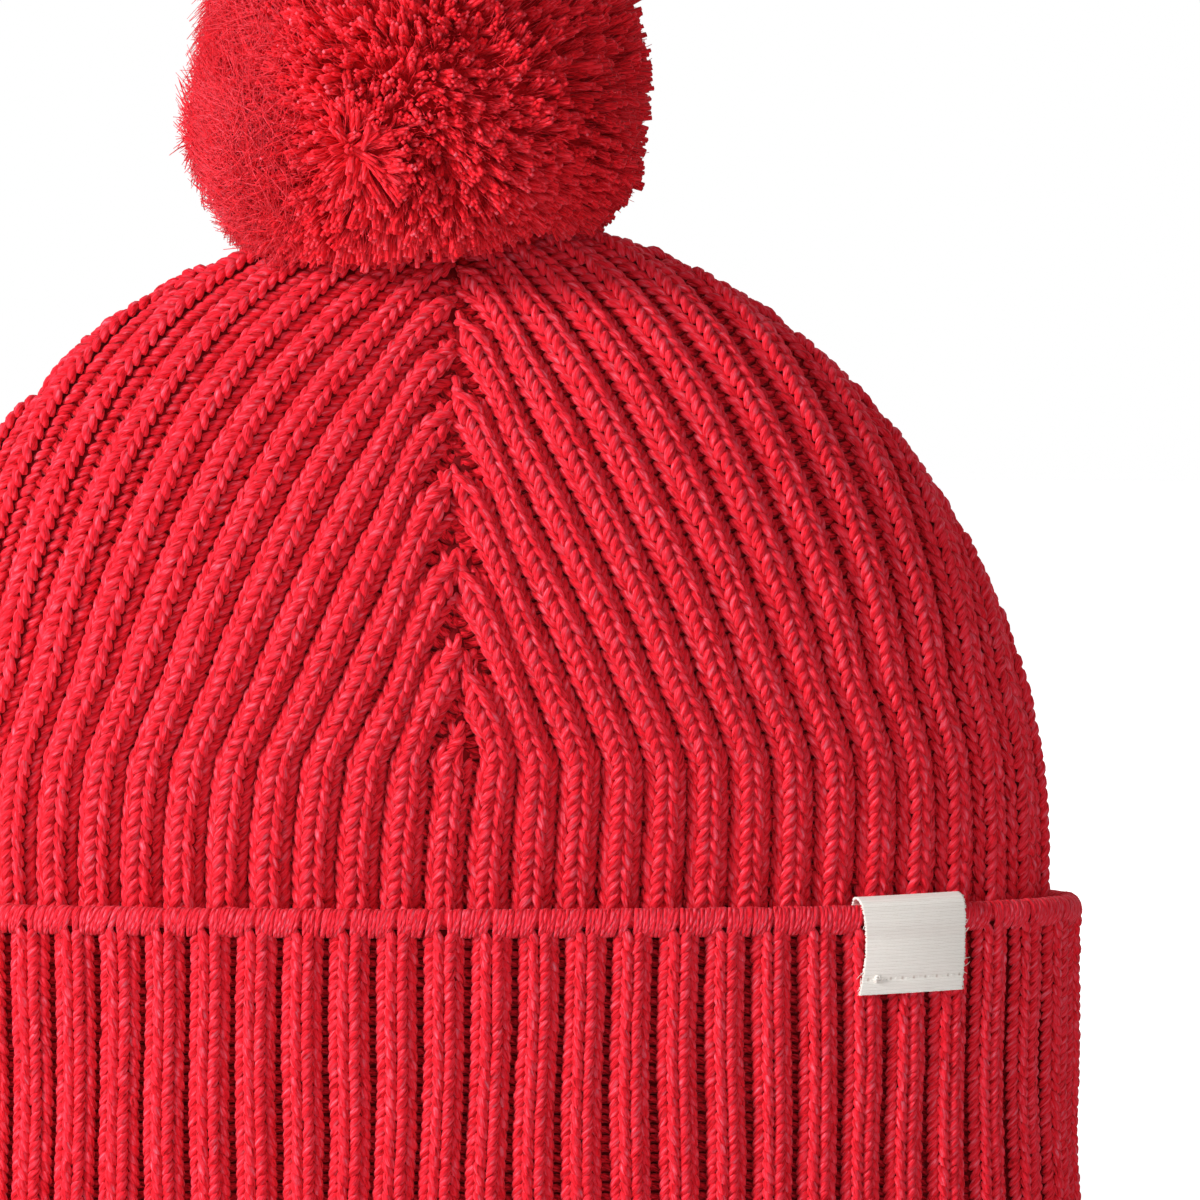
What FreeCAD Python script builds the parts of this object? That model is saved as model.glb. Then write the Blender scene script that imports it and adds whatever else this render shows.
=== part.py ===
"""Knitted beanie with a turned-up ribbed cuff, a darted crown and a yarn pom.

Frame: millimetres, +Z up, origin at the middle of the fold that the hat stands on.
The side with the sewn tab faces -Y, and +X is to its right.
"""

import FreeCAD, Part

import os

DOC = FreeCAD.newDocument("Beanie")
SHEET = DOC.addObject("Spreadsheet::Sheet", "Sizes")

SIZES = [
    ("cuff_half_width", 100.0, "outer face of the cuff, along X"),
    ("cuff_half_depth", 33.3, "outer face of the cuff, along Y"),
    ("cuff_tall", 55.5, "fold to the top of the bound edge"),
    ("knit_thick", 4.1, "one layer of rib in the cuff"),
    ("layer_gap", 1.2, "between the cuff's inner face and the crown"),
    ("fold_tall", 8.0, "rolled fold that the hat stands on"),
    ("fold_round", 2.6, "rounding of the fold's lower edges"),
    ("edge_tall", 3.5, "bound edge along the top of the cuff"),
    ("edge_proud", 0.5, "how far the bound edge stands out"),
    ("edge_round", 1.2, "rounding of the bound edge"),
    ("soft_gap", 0.3, "clearance between soft pieces that move apart"),
    ("crown_thick", 3.4, "one layer of rib in the crown"),
    ("crown_straight", 2.5, "straight knit above the cuff before the dome"),
    ("dome_tall", 106.0, "dome above its straight part"),
    ("crown_swell", 9.0, "how far the filled crown swells along Y"),
    ("dart_low", 20.0, "start of the darts above the foot of the dome"),
    ("dart_stop", 12.0, "end of the darts below the top of the crown"),
    ("seam_wide", 3.0, "sewn allowance of a dart"),
    ("seam_deep", 2.2, "how far an allowance stands into the crown"),
    ("cuff_seam_wide", 2.0, "sewn line down the back of the cuff"),
    ("cuff_seam_deep", 0.5, "how far that line stands out"),
    ("tie_yarn", 1.1, "radius of the yarn that ties the pom on"),
    ("draw_yarn", 0.7, "radius of the yarn that gathers the crown"),
    ("knot_round", 4.0, "radius of the knot inside the crown"),
    ("knot_half_tall", 2.6, "half height of that knot"),
    ("neck_round", 1.3, "radius of the tie's neck under the pom"),
    ("binding_round", 4.0, "radius of the yarn wound round the pom's middle"),
    ("pom_round", 37.2, "radius of the pom"),
    ("pom_lift", 18.4, "pom's middle above the top of the crown"),
    ("pom_lean", 5.0, "pom's middle to the left of its tie"),
    ("pom_under", 2.0, "flat underside of the pom above the top of the crown"),
    ("tab_place", 27.0, "middle of the sewn tab, in from the cuff's right-hand end"),
    ("tab_wide", 17.3, "width of the tab"),
    ("tab_drop", 16.2, "how far the tab hangs below the top of the cuff"),
    ("tab_thick", 0.5, "woven tape of the tab"),
    ("stitch_rise", 2.4, "sewing line above the tab's lower end"),
    ("stitch_long", 1.1, "one stitch of that line"),
    ("stitch_pitch", 1.75, "spacing of those stitches"),
    ("stitch_thick", 0.4, "sewing thread"),
]
DOME_STEPS = 10
DOME_LAST_ANGLE = 87.0
STITCHES = 9

for row, (alias, value, note) in enumerate(SIZES, start=1):
    SHEET.set(f"A{row}", note)
    SHEET.set(f"B{row}", str(value))
    SHEET.setAlias(f"B{row}", alias)
DOC.recompute()

ALIASES = [alias for alias, value, note in SIZES]

# Heights and faces that several pieces share, as formulas of the sheet's cells.
OVERSHOOT = "(fold_tall / 2)"
CROWN_HALF_WIDTH = "(cuff_half_width - knit_thick - layer_gap)"
CROWN_HALF_DEPTH = "(cuff_half_depth - knit_thick - layer_gap)"
CROWN_FOOT = "(fold_tall + soft_gap)"
DOME_FOOT = "(cuff_tall + crown_straight)"
CROWN_TOP = "(cuff_tall + crown_straight + dome_tall)"
NECK_MIDDLE = f"({CROWN_TOP} + soft_gap / 3 + neck_round)"
POM_FOOT = f"({NECK_MIDDLE} + neck_round + soft_gap)"
POM_MIDDLE = f"({CROWN_TOP} + pom_lift)"
POM_UNDER = f"({CROWN_TOP} + pom_under)"
TAB_MIDDLE = "(cuff_half_width - tab_place)"
FAR = "(2 * cuff_half_width)"


def formula(text):
    """Point each size named in a formula at its cell of the sheet."""
    words = sorted(ALIASES, key=len, reverse=True)
    out = ""
    place = 0
    while place < len(text):
        found = next((w for w in words if text.startswith(w, place)), None)
        if found:
            out += "Sizes." + found
            place += len(found)
        else:
            out += text[place]
            place += 1
    return out


def bind(item, **sizes):
    """Tie an object's sizes and place to formulas, with x, y and z for its base."""
    for name, text in sizes.items():
        path = f"Placement.Base.{name}" if name in ("x", "y", "z") else name
        item.setExpression(path, formula(text))
    return item


def made(kind, label, **sizes):
    """Add one primitive of a kind, labelled and bound to the sheet."""
    item = DOC.addObject(kind, label)
    item.Label = label
    return bind(item, **sizes)


def joined(kind, label, base, tool):
    """Add a cut, a fuse or a common part of two objects."""
    item = DOC.addObject(kind, label)
    item.Label = label
    item.Base = base
    item.Tool = tool
    return item


def oval(label, half_width, half_depth, height):
    """An upright hat is oval in plan: one such oval at a height."""
    return made(
        "Part::Ellipse", label, MajorRadius=half_width, MinorRadius=half_depth, z=height
    )


def oval_block(label, half_width, half_depth, low, high):
    """A solid of constant oval plan between two heights."""
    block = DOC.addObject("Part::Extrusion", label)
    block.Base = oval(label + "_plan", half_width, half_depth, low)
    block.DirMode = "Custom"
    block.Dir = FreeCAD.Vector(0, 0, 1)
    block.Solid = True
    return bind(block, LengthFwd=f"({high}) - ({low})")


def oval_band(label, outer, inner, low, high):
    """A band of rib between two oval faces, each a formula of how far it lies inside the cuff's face."""
    solid = oval_block(
        label + "_outer", f"cuff_half_width - {outer}", f"cuff_half_depth - {outer}", low, high
    )
    hollow = oval_block(
        label + "_inner",
        f"cuff_half_width - {inner}",
        f"cuff_half_depth - {inner}",
        f"{low} - {OVERSHOOT}",
        f"{high} + {OVERSHOOT}",
    )
    return joined("Part::Cut", label, solid, hollow)


def crown_form(label, inset, foot):
    """The crown's shape drawn in by an inset: a straight oval stretch under a dome."""
    stretch = oval_block(
        label + "_stretch",
        f"{CROWN_HALF_WIDTH} - {inset}",
        f"{CROWN_HALF_DEPTH} - {inset}",
        foot,
        DOME_FOOT,
    )
    rings = []
    for step in range(DOME_STEPS + 1):
        angle = DOME_LAST_ANGLE * step / DOME_STEPS
        rings.append(
            oval(
                f"{label}_ring_{step}",
                f"({CROWN_HALF_WIDTH} - {inset}) * cos({angle})",
                f"({CROWN_HALF_DEPTH} - {inset}) * cos({angle})"
                f" + crown_swell * sin(180 * sin({angle}))",
                f"{DOME_FOOT} + (dome_tall - {inset}) * sin({angle})",
            )
        )
    dome = DOC.addObject("Part::Loft", label + "_dome")
    dome.Sections = rings
    dome.Solid = True
    return joined("Part::Fuse", label, stretch, dome)


def block(label, low, high):
    """A box between two corners, each three formulas."""
    return made(
        "Part::Box",
        label,
        x=low[0],
        y=low[1],
        z=low[2],
        Length=f"({high[0]}) - ({low[0]})",
        Width=f"({high[1]}) - ({low[1]})",
        Height=f"({high[2]}) - ({low[2]})",
    )


def rounded(label, base, radius, wanted):
    """Round the edges of a band that the test picks, by a size of the sheet."""
    DOC.recompute()
    item = DOC.addObject("Part::Fillet", label)
    item.Label = label
    item.Base = base
    size = SHEET.get(radius)
    numbers = [n for n, edge in enumerate(base.Shape.Edges, start=1) if wanted(edge)]
    item.Edges = [(n, size, size) for n in numbers]
    return item


def lies_at(height):
    """A test for edges that lie level at a height in millimetres."""
    return lambda edge: (
        edge.BoundBox.ZLength < 1e-3 and abs(edge.BoundBox.ZMin - height) < 1e-3
    )


# Cuff: the fold it stands on, the turned-up layer, its sewn back line and its bound edge.

fold_band = oval_band(
    "fold_band", "0", "(knit_thick + layer_gap + crown_thick)", "0 * fold_tall", "fold_tall"
)
cuff_fold = rounded("cuff_fold", fold_band, "fold_round", lies_at(0.0))

cuff_outer_layer = oval_band(
    "cuff_outer_layer",
    "0",
    "knit_thick",
    "fold_tall",
    "(cuff_tall - edge_tall - soft_gap)",
)

back_line = oval_band(
    "back_line", "(0 - cuff_seam_deep)", "0", "fold_tall", "(cuff_tall - edge_tall - soft_gap)"
)
cuff_seam_yarn = joined(
    "Part::Common",
    "cuff_seam_yarn",
    back_line,
    block(
        "back_line_reach",
        ("0 - cuff_seam_wide / 2", "0 * fold_tall", "0 * fold_tall"),
        ("cuff_seam_wide / 2", FAR, "cuff_tall"),
    ),
)

edge_band = oval_band(
    "edge_band", "(0 - edge_proud)", "knit_thick", "(cuff_tall - edge_tall)", "cuff_tall"
)
cuff_welt = rounded(
    "cuff_welt", edge_band, "edge_round", lies_at(SHEET.get("cuff_tall"))
)

# Woven tab: a tape folded over the bound edge and sewn through.

tab_wrap = oval_band(
    "tab_wrap",
    "(0 - edge_proud - soft_gap - tab_thick)",
    "(knit_thick + soft_gap + tab_thick)",
    "(cuff_tall - tab_drop)",
    "(cuff_tall + soft_gap + tab_thick)",
)
tab_core = oval_band(
    "tab_core",
    "(0 - edge_proud - soft_gap)",
    "(knit_thick + soft_gap)",
    "(cuff_tall - tab_drop - tab_thick)",
    "(cuff_tall + soft_gap)",
)
tab_reach = block(
    "tab_reach",
    (f"{TAB_MIDDLE} - tab_wide / 2", f"0 - {FAR}", "0 * fold_tall"),
    (f"{TAB_MIDDLE} + tab_wide / 2", "0 * fold_tall", CROWN_TOP),
)
label_tab = joined(
    "Part::Common",
    "label_tab",
    joined("Part::Cut", "tab_ring", tab_wrap, tab_core),
    tab_reach,
)

STITCH_LOW = "(cuff_tall - tab_drop + stitch_rise)"
thread_band = oval_band(
    "thread_band",
    "(0 - edge_proud - soft_gap - tab_thick - stitch_thick)",
    "(0 - edge_proud - soft_gap - tab_thick)",
    STITCH_LOW,
    f"({STITCH_LOW} + stitch_thick)",
)
stitch_reaches = []
for number in range(STITCHES):
    middle = f"({TAB_MIDDLE} + {number - (STITCHES - 1) / 2} * stitch_pitch)"
    stitch_reaches.append(
        block(
            f"stitch_reach_{number}",
            (f"{middle} - stitch_long / 2", f"0 - {FAR}", "0 * fold_tall"),
            (f"{middle} + stitch_long / 2", "0 * fold_tall", "cuff_tall"),
        )
    )
stitch_row = DOC.addObject("Part::Compound", "stitch_row")
stitch_row.Links = stitch_reaches
label_stitches = joined("Part::Common", "label_stitches", thread_band, stitch_row)

# Crown: the knitted tube, its sewn darts and its gathered top.

crown_outer = crown_form("crown_outer", "0", CROWN_FOOT)
crown_inner = crown_form("crown_inner", "crown_thick", f"({CROWN_FOOT} - {OVERSHOOT})")
seam_inner = crown_form(
    "seam_inner", "(crown_thick + seam_deep)", f"({CROWN_FOOT} - {OVERSHOOT})"
)
crown_hollow = joined(
    "Part::Fuse",
    "crown_hollow",
    crown_inner,
    made(
        "Part::Cylinder",
        "draw_hole",
        Radius="tie_yarn + 3 * draw_yarn",
        Height="3 * crown_thick",
        z=f"{CROWN_TOP} - 2 * crown_thick",
    ),
)
crown_shell = joined("Part::Cut", "crown_shell", crown_outer, crown_hollow)

seam_layer = joined("Part::Cut", "seam_layer", crown_inner, seam_inner)
HALF_SEAM = "(seam_wide / 2)"
DART_LOW = f"({DOME_FOOT} + dart_low)"
DART_HIGH = f"({CROWN_TOP} - dart_stop)"
SEAM_REACHES = {
    "front_dart_seam": (
        (f"0 - {HALF_SEAM}", f"0 - {FAR}", DART_LOW),
        (HALF_SEAM, f"0 - {HALF_SEAM}", DART_HIGH),
    ),
    "right_dart_seam": (
        (HALF_SEAM, f"0 - {HALF_SEAM}", DART_LOW),
        (FAR, HALF_SEAM, DART_HIGH),
    ),
    "left_dart_seam": (
        (f"0 - {FAR}", f"0 - {HALF_SEAM}", DART_LOW),
        (f"0 - {HALF_SEAM}", HALF_SEAM, DART_HIGH),
    ),
    "back_seam": (
        (f"0 - {HALF_SEAM}", HALF_SEAM, CROWN_FOOT),
        (HALF_SEAM, FAR, DART_HIGH),
    ),
}
seams = [
    joined("Part::Common", label, seam_layer, block(label + "_reach", low, high))
    for label, (low, high) in SEAM_REACHES.items()
]

crown_draw_yarn = made(
    "Part::Torus",
    "crown_draw_yarn",
    Radius1="tie_yarn + 1.5 * draw_yarn",
    Radius2="draw_yarn",
    z=f"{CROWN_TOP} - crown_thick / 2",
)

# Tie: yarn from a knot inside the crown, through the gathered top, up to the pom's binding.

KNOT_MIDDLE = f"({CROWN_TOP} - crown_thick - knot_half_tall - neck_round)"
anchor_yarn = made(
    "Part::Cylinder",
    "anchor_yarn",
    Radius="tie_yarn",
    Height=f"{NECK_MIDDLE} - neck_round - soft_gap - ({KNOT_MIDDLE} - 2 * knot_half_tall)",
    z=f"{KNOT_MIDDLE} - 2 * knot_half_tall",
)
anchor_knot = joined(
    "Part::Cut",
    "anchor_knot",
    made(
        "Part::Ellipsoid",
        "knot_ball",
        Radius1="knot_half_tall",
        Radius2="knot_round",
        Radius3="knot_round",
        z=KNOT_MIDDLE,
    ),
    anchor_yarn,
)
pom_neck = made("Part::Sphere", "pom_neck", Radius="neck_round", z=NECK_MIDDLE)
pom_binding = joined(
    "Part::Fuse",
    "pom_binding",
    made("Part::Sphere", "binding_ball", Radius="binding_round", z=POM_MIDDLE),
    made(
        "Part::Cylinder",
        "binding_stem",
        Radius="tie_yarn",
        Height=f"{POM_MIDDLE} - {POM_FOOT}",
        z=POM_FOOT,
    ),
)

# Pom: a ball of cut yarn, flat underneath so that it can nod and sway over the crown.

pom_body = joined(
    "Part::Common",
    "pom_body",
    made("Part::Sphere", "pom_ball", Radius="pom_round", x="0 - pom_lean", z=POM_MIDDLE),
    block(
        "pom_reach",
        (f"0 - {FAR}", f"0 - {FAR}", POM_UNDER),
        (FAR, FAR, f"{POM_MIDDLE} + 2 * pom_round"),
    ),
)
binding_room = joined(
    "Part::Fuse",
    "binding_room",
    made("Part::Sphere", "ball_room", Radius="binding_round + soft_gap", z=POM_MIDDLE),
    made(
        "Part::Cylinder",
        "stem_room",
        Radius="tie_yarn + soft_gap",
        Height=f"{POM_MIDDLE} - {CROWN_TOP}",
        z=CROWN_TOP,
    ),
)
pom_fibres = joined("Part::Cut", "pom_fibres", pom_body, binding_room)

NODES = [
    cuff_fold,
    cuff_outer_layer,
    cuff_seam_yarn,
    cuff_welt,
    label_tab,
    label_stitches,
    crown_shell,
    *seams,
    crown_draw_yarn,
    anchor_yarn,
    anchor_knot,
    pom_neck,
    pom_binding,
    pom_fibres,
]

DOC.recompute()
for item in DOC.Objects:
    if "Invalid" in item.State or "Error" in item.State:
        raise RuntimeError(f"{item.Label} did not compute: {item.State}")
for node in NODES:
    if node.Shape.isNull() or not node.Shape.isValid():
        raise RuntimeError(f"{node.Label} has no valid shape")

os.makedirs("parts", exist_ok=True)
for node in NODES:
    node.Shape.exportStep(f"parts/{node.Label}.step")
    box = node.Shape.BoundBox
    print(
        f"{node.Label:18s} {len(node.Shape.Solids):2d} solid(s) {node.Shape.Volume / 1000:8.2f} cm3"
        f"  x {box.XMin:7.1f} {box.XMax:6.1f}  y {box.YMin:6.1f} {box.YMax:6.1f}"
        f"  z {box.ZMin:6.1f} {box.ZMax:6.1f}"
    )
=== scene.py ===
"""A rib-knit beanie: turned-up cuff, crown shaped by four darts, woven tab and a yarn pom."""

import logging
import math
from dataclasses import dataclass, field, replace
from enum import Enum

import bpy
import numpy as np
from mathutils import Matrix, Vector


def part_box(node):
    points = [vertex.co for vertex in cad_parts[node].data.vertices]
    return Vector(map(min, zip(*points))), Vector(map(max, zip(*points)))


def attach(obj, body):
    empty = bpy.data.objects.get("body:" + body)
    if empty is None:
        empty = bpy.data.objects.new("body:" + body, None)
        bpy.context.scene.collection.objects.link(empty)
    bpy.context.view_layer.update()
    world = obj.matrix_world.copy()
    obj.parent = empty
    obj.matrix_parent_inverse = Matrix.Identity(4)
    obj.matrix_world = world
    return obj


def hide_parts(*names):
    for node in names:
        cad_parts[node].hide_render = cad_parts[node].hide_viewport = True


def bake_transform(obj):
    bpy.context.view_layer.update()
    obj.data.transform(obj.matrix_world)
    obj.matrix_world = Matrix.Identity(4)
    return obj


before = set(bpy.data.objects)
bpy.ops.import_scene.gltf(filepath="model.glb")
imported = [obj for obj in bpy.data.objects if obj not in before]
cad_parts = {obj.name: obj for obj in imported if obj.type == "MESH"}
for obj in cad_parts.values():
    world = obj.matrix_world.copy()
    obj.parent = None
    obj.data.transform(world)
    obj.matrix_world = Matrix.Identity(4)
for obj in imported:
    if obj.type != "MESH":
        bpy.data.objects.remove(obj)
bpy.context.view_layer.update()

LOG = logging.getLogger("beanie")
MM = 0.001
Array = np.ndarray
Colour = tuple[float, float, float]
# Shares of the way round the hat, counted from the front through the right.
FRONT, BACK, QUARTER_ROUND = 0.0, 0.5, 0.25
# Width of the surface map round a yarn, its shift from yarn to yarn, and its width round a cloth.
MAP_ROUND, MAP_STEP, SHELL_ROUND = 5.0, 1.37, 400.0
# Part of an atlas cell left free round a yarn's walls, and the part of that which its ends take.
CELL_MARGIN, END_SHARE = 0.08, 0.8
# How far past a dart's line a rib may run, in rib widths, and the points needed to keep a rib.
DART_LAP, FEWEST_POINTS = -0.22, 8
# How far the crown's foot is lowered outside it, so that nothing there is held up.
FAR_BELOW = 200.0


def unit(vectors: Array) -> Array:
    """Scale vectors to length one along the last axis."""
    return vectors / np.maximum(np.linalg.norm(vectors, axis=-1, keepdims=True), 1e-12)


def smooth_step(x: Array) -> Array:
    """Ease from 0 to 1 as x goes from 0 to 1."""
    t = np.clip(x, 0.0, 1.0)
    return t * t * (3.0 - 2.0 * t)


def bell(x: Array) -> Array:
    """A smooth hump that is 1 at x = 0 and fades by x = 2."""
    return np.exp(-(x**2))


def joined(*columns: Array) -> Array:
    """Stack arrays of one shape as the last axis of a new one."""
    return np.stack(np.broadcast_arrays(*columns), -1)


def top_of(node: str) -> float:
    """Height of a CAD node's top, in millimetres."""
    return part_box(node)[1].z / MM


def foot_of(node: str) -> float:
    """Height of a CAD node's foot, in millimetres."""
    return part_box(node)[0].z / MM


def shown(name: str, data: bpy.types.ID) -> bpy.types.Object:
    """Make an object of a mesh, lamp or camera and link it to the scene."""
    item = bpy.data.objects.new(name, data)
    bpy.context.scene.collection.objects.link(item)
    return item


# --------------------------------------------------------------------------- meshes


class Geometry:
    """Vertices, faces and per-corner maps of one piece, gathered as arrays and then built once."""

    def __init__(self) -> None:
        """Start empty."""
        self.points: list[Array] = []
        self.faces: list[Array] = []
        self.maps: list[Array] = []
        self.atlas: list[Array] = []
        self.tints: list[Array] = []
        self.count = 0

    def add(
        self,
        points: Array,
        faces: list[Array],
        maps: list[Array],
        atlas: list[Array],
        tint: Array | float,
    ) -> None:
        """Add vertices with their faces.

        Args:
            points: Vertex places in millimetres, one row each.
            faces: Arrays of vertex numbers, one row per face, each array with its own corner count.
            maps: For each array of faces, the surface map of every corner.
            atlas: The same for the map that gives each part of the surface its own place.
            tint: One number per vertex, which varies the colour: random tone, and on the yarns painted light
                and shade.
        """
        self.points.append(points)
        self.tints.append(np.broadcast_to(tint, (len(points),)))
        for group, uv, place in zip(faces, maps, atlas):
            self.faces.append(group + self.count)
            self.maps.append(uv.reshape(-1, 2))
            self.atlas.append(place.reshape(-1, 2))
        self.count += len(points)

    def build(self, name: str, material: bpy.types.Material) -> bpy.types.Object:
        """Make the Blender object.

        Args:
            name: The piece's name.
            material: Its finish.

        Returns:
            The object, linked to the scene, with smooth faces.
        """
        mesh = bpy.data.meshes.new(name)
        points = np.concatenate(self.points) * MM
        corners = np.concatenate([f.ravel() for f in self.faces]).astype(np.int32)
        totals = np.concatenate([np.full(len(f), f.shape[1], np.int32) for f in self.faces])
        starts = np.concatenate([[0], np.cumsum(totals)[:-1]]).astype(np.int32)
        mesh.vertices.add(len(points))
        mesh.vertices.foreach_set("co", points.astype(np.float32).ravel())
        mesh.loops.add(len(corners))
        mesh.loops.foreach_set("vertex_index", corners)
        mesh.polygons.add(len(totals))
        mesh.polygons.foreach_set("loop_start", starts)
        mesh.polygons.foreach_set("loop_total", totals)
        mesh.polygons.foreach_set("use_smooth", np.ones(len(totals), bool))
        mesh.update(calc_edges=True)
        for label, values in (("Surface", self.maps), ("OFBake", self.atlas)):
            layer = mesh.uv_layers.new(name=label)
            layer.uv.foreach_set("vector", np.concatenate(values).astype(np.float32).ravel())
        tint = mesh.attributes.new("tint", "FLOAT", "POINT")
        tint.data.foreach_set("value", np.concatenate(self.tints).astype(np.float32))
        mesh.materials.append(material)
        return shown(name, mesh)


def ring_faces(rows: int, around: int) -> Array:
    """Faces of a grid of vertices that is wrapped round, as vertex numbers.

    Args:
        rows: Rings of vertices.
        around: Vertices on each ring.

    Returns:
        Four vertex numbers for each face.
    """
    i, j = np.meshgrid(np.arange(rows - 1), np.arange(around), indexing="ij")
    k = (j + 1) % around
    here, above = i * around, (i + 1) * around
    return np.stack([here + j, here + k, above + k, above + j], -1).reshape(-1, 4)


def ring_maps(rows: int, around: int) -> Array:
    """The shares of the way along and around of each corner of ring_faces.

    Args:
        rows: Rings of vertices.
        around: Vertices on each ring.

    Returns:
        Faces by four corners by two shares.
    """
    i, j = np.meshgrid(np.arange(rows - 1), np.arange(around), indexing="ij")
    u = np.stack([i, i, i + 1, i + 1], -1) / (rows - 1)
    v = np.stack([j, j + 1, j + 1, j], -1) / around
    return np.stack([u, v], -1).reshape(-1, 4, 2)


@dataclass
class Strands:
    """Many short lengths of yarn with the same number of points, as closed tubes."""

    centre: Array
    out: Array
    wide: Array | float
    deep: Array | float
    tint: Array
    sides: int = 6

    def into(self, geometry: Geometry, first_cell: int, cells: int) -> None:
        """Add the tubes to a geometry.

        Args:
            geometry: Where they go.
            first_cell: Number of the first tube's cell in the atlas.
            cells: How many cells the atlas has.
        """
        number, length = self.centre.shape[:2]
        heading = unit(np.gradient(self.centre, axis=1))
        side = unit(np.cross(heading, self.out))
        out = unit(np.cross(side, heading))
        wide = np.broadcast_to(self.wide, (number, length))
        deep = np.broadcast_to(self.deep, (number, length))
        angle = np.arange(self.sides) * 2 * np.pi / self.sides
        ring = (
            self.centre[:, :, None]
            + (side * wide[..., None])[:, :, None] * np.cos(angle)[:, None]
            + (out * deep[..., None])[:, :, None] * np.sin(angle)[:, None]
        )
        each = length * self.sides
        base = (np.arange(number) * each)[:, None, None]
        walls = (ring_faces(length, self.sides)[None] + base).reshape(-1, 4)
        start = np.arange(self.sides)[::-1]
        finish = np.arange(self.sides) + each - self.sides
        caps = (np.stack([start, finish])[None] + base).reshape(-1, self.sides)
        share = ring_maps(length, self.sides)
        run = np.linalg.norm(np.diff(self.centre, axis=1), axis=-1).sum(1)
        size = np.stack([run, np.full(number, MAP_ROUND)], -1)[:, None, None]
        steps = first_cell + np.arange(number) * MAP_STEP
        shift = np.stack([steps, np.zeros(number)], -1)[:, None, None]
        across = math.ceil(math.sqrt(cells))
        cell = first_cell + np.arange(number)
        corner = np.stack([cell % across, cell // across], -1)
        inside = CELL_MARGIN + (1 - 2 * CELL_MARGIN) * share[None]
        walls_place = (corner[:, None, None] + inside) / across
        fan = np.stack([0.5 + 0.5 * np.cos(angle), 0.5 + 0.5 * np.sin(angle)], -1)
        fan = fan * CELL_MARGIN * END_SHARE
        ends = np.stack([fan[::-1], fan + np.array([1 - CELL_MARGIN, 0.0])])
        caps_place = (corner[:, None, None] + ends[None]) / across
        reach = run[:, None, None]
        caps_map = np.stack([shift[:, :, 0] + 0 * reach, shift[:, :, 0] + reach], 1)
        caps_map = caps_map.reshape(number, 2, 1, 2) + np.array([0.0, MAP_ROUND / 2]) + 0 * fan[None, None]
        tint = self.tint if np.ndim(self.tint) == 2 else np.asarray(self.tint)[:, None]
        geometry.add(
            ring.reshape(-1, 3),
            [walls, caps],
            [(share[None] * size + shift).reshape(-1, 4, 2), caps_map.reshape(-1, self.sides, 2)],
            [walls_place.reshape(-1, 4, 2), caps_place.reshape(-1, self.sides, 2)],
            np.repeat(np.broadcast_to(tint, (number, length)).ravel(), self.sides),
        )


def strands_object(name: str, groups: list[Strands], material: bpy.types.Material) -> bpy.types.Object:
    """Build one object from groups of yarn lengths.

    Args:
        name: The piece's name.
        groups: The yarn lengths.
        material: Its finish.

    Returns:
        The object.
    """
    geometry = Geometry()
    cells = sum(len(g.centre) for g in groups)
    done = 0
    for group in groups:
        group.into(geometry, done, cells)
        done += len(group.centre)
    return geometry.build(name, material)


def shell_object(name: str, outer: Array, inner: Array, material: bpy.types.Material) -> bpy.types.Object:
    """Build a closed tube of cloth between two grids of points.

    Args:
        name: The piece's name.
        outer: Grid of the outer face, rows by points round.
        inner: Grid of the inner face, of the same size.
        material: Its finish.

    Returns:
        The object.
    """
    rows, around = outer.shape[:2]
    whole = np.concatenate([outer, inner[::-1]])
    total = 2 * rows
    faces = ring_faces(total + 1, around) % (total * around)
    share = ring_maps(total + 1, around)
    length = np.linalg.norm(np.diff(whole[:, 0], axis=0), axis=-1).sum()
    geometry = Geometry()
    place = share * 0.99 + 0.005
    geometry.add(whole.reshape(-1, 3), [faces], [share * [length, SHELL_ROUND]], [place], 0.5)
    return geometry.build(name, material)


# --------------------------------------------------------------------------- cloth shapes


@dataclass
class Cloth:
    """A knitted tube's face as a grid: rows along the cloth, equal shares of the way round."""

    grid: Array
    along: Array = field(init=False)
    girth: Array = field(init=False)
    out: Array = field(init=False)

    def __post_init__(self) -> None:
        """Work out lengths, girths and the outward directions."""
        eighth = self.grid.shape[1] // 8
        steps = np.linalg.norm(np.diff(self.grid[:, eighth], axis=0), axis=-1)
        self.along = np.concatenate([[0.0], np.cumsum(steps)])
        closed = np.roll(self.grid, -1, axis=1) - self.grid
        self.girth = np.linalg.norm(closed, axis=-1).sum(1)
        across = np.roll(self.grid, -1, axis=1) - np.roll(self.grid, 1, axis=1)
        self.out = unit(np.cross(across, np.gradient(self.grid, axis=0)))

    def at(self, along: Array, share: Array) -> tuple[Array, Array]:
        """Look up the surface.

        Args:
            along: Distance along the cloth.
            share: Share of the way round, counted from the front through the right.

        Returns:
            The places and the outward directions.
        """
        row = np.interp(along, self.along, np.arange(len(self.along)))
        r0 = np.clip(row.astype(int), 0, len(self.along) - 2)
        fr = (row - r0)[..., None]
        spot = np.mod(share, 1.0) * self.grid.shape[1]
        c0 = spot.astype(int) % self.grid.shape[1]
        c1 = (c0 + 1) % self.grid.shape[1]
        fc = (spot - np.floor(spot))[..., None]
        found = []
        for values in (self.grid, self.out):
            low = values[r0, c0] * (1 - fc) + values[r0, c1] * fc
            high = values[r0 + 1, c0] * (1 - fc) + values[r0 + 1, c1] * fc
            found.append(low * (1 - fr) + high * fr)
        return found[0], unit(found[1])


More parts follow.
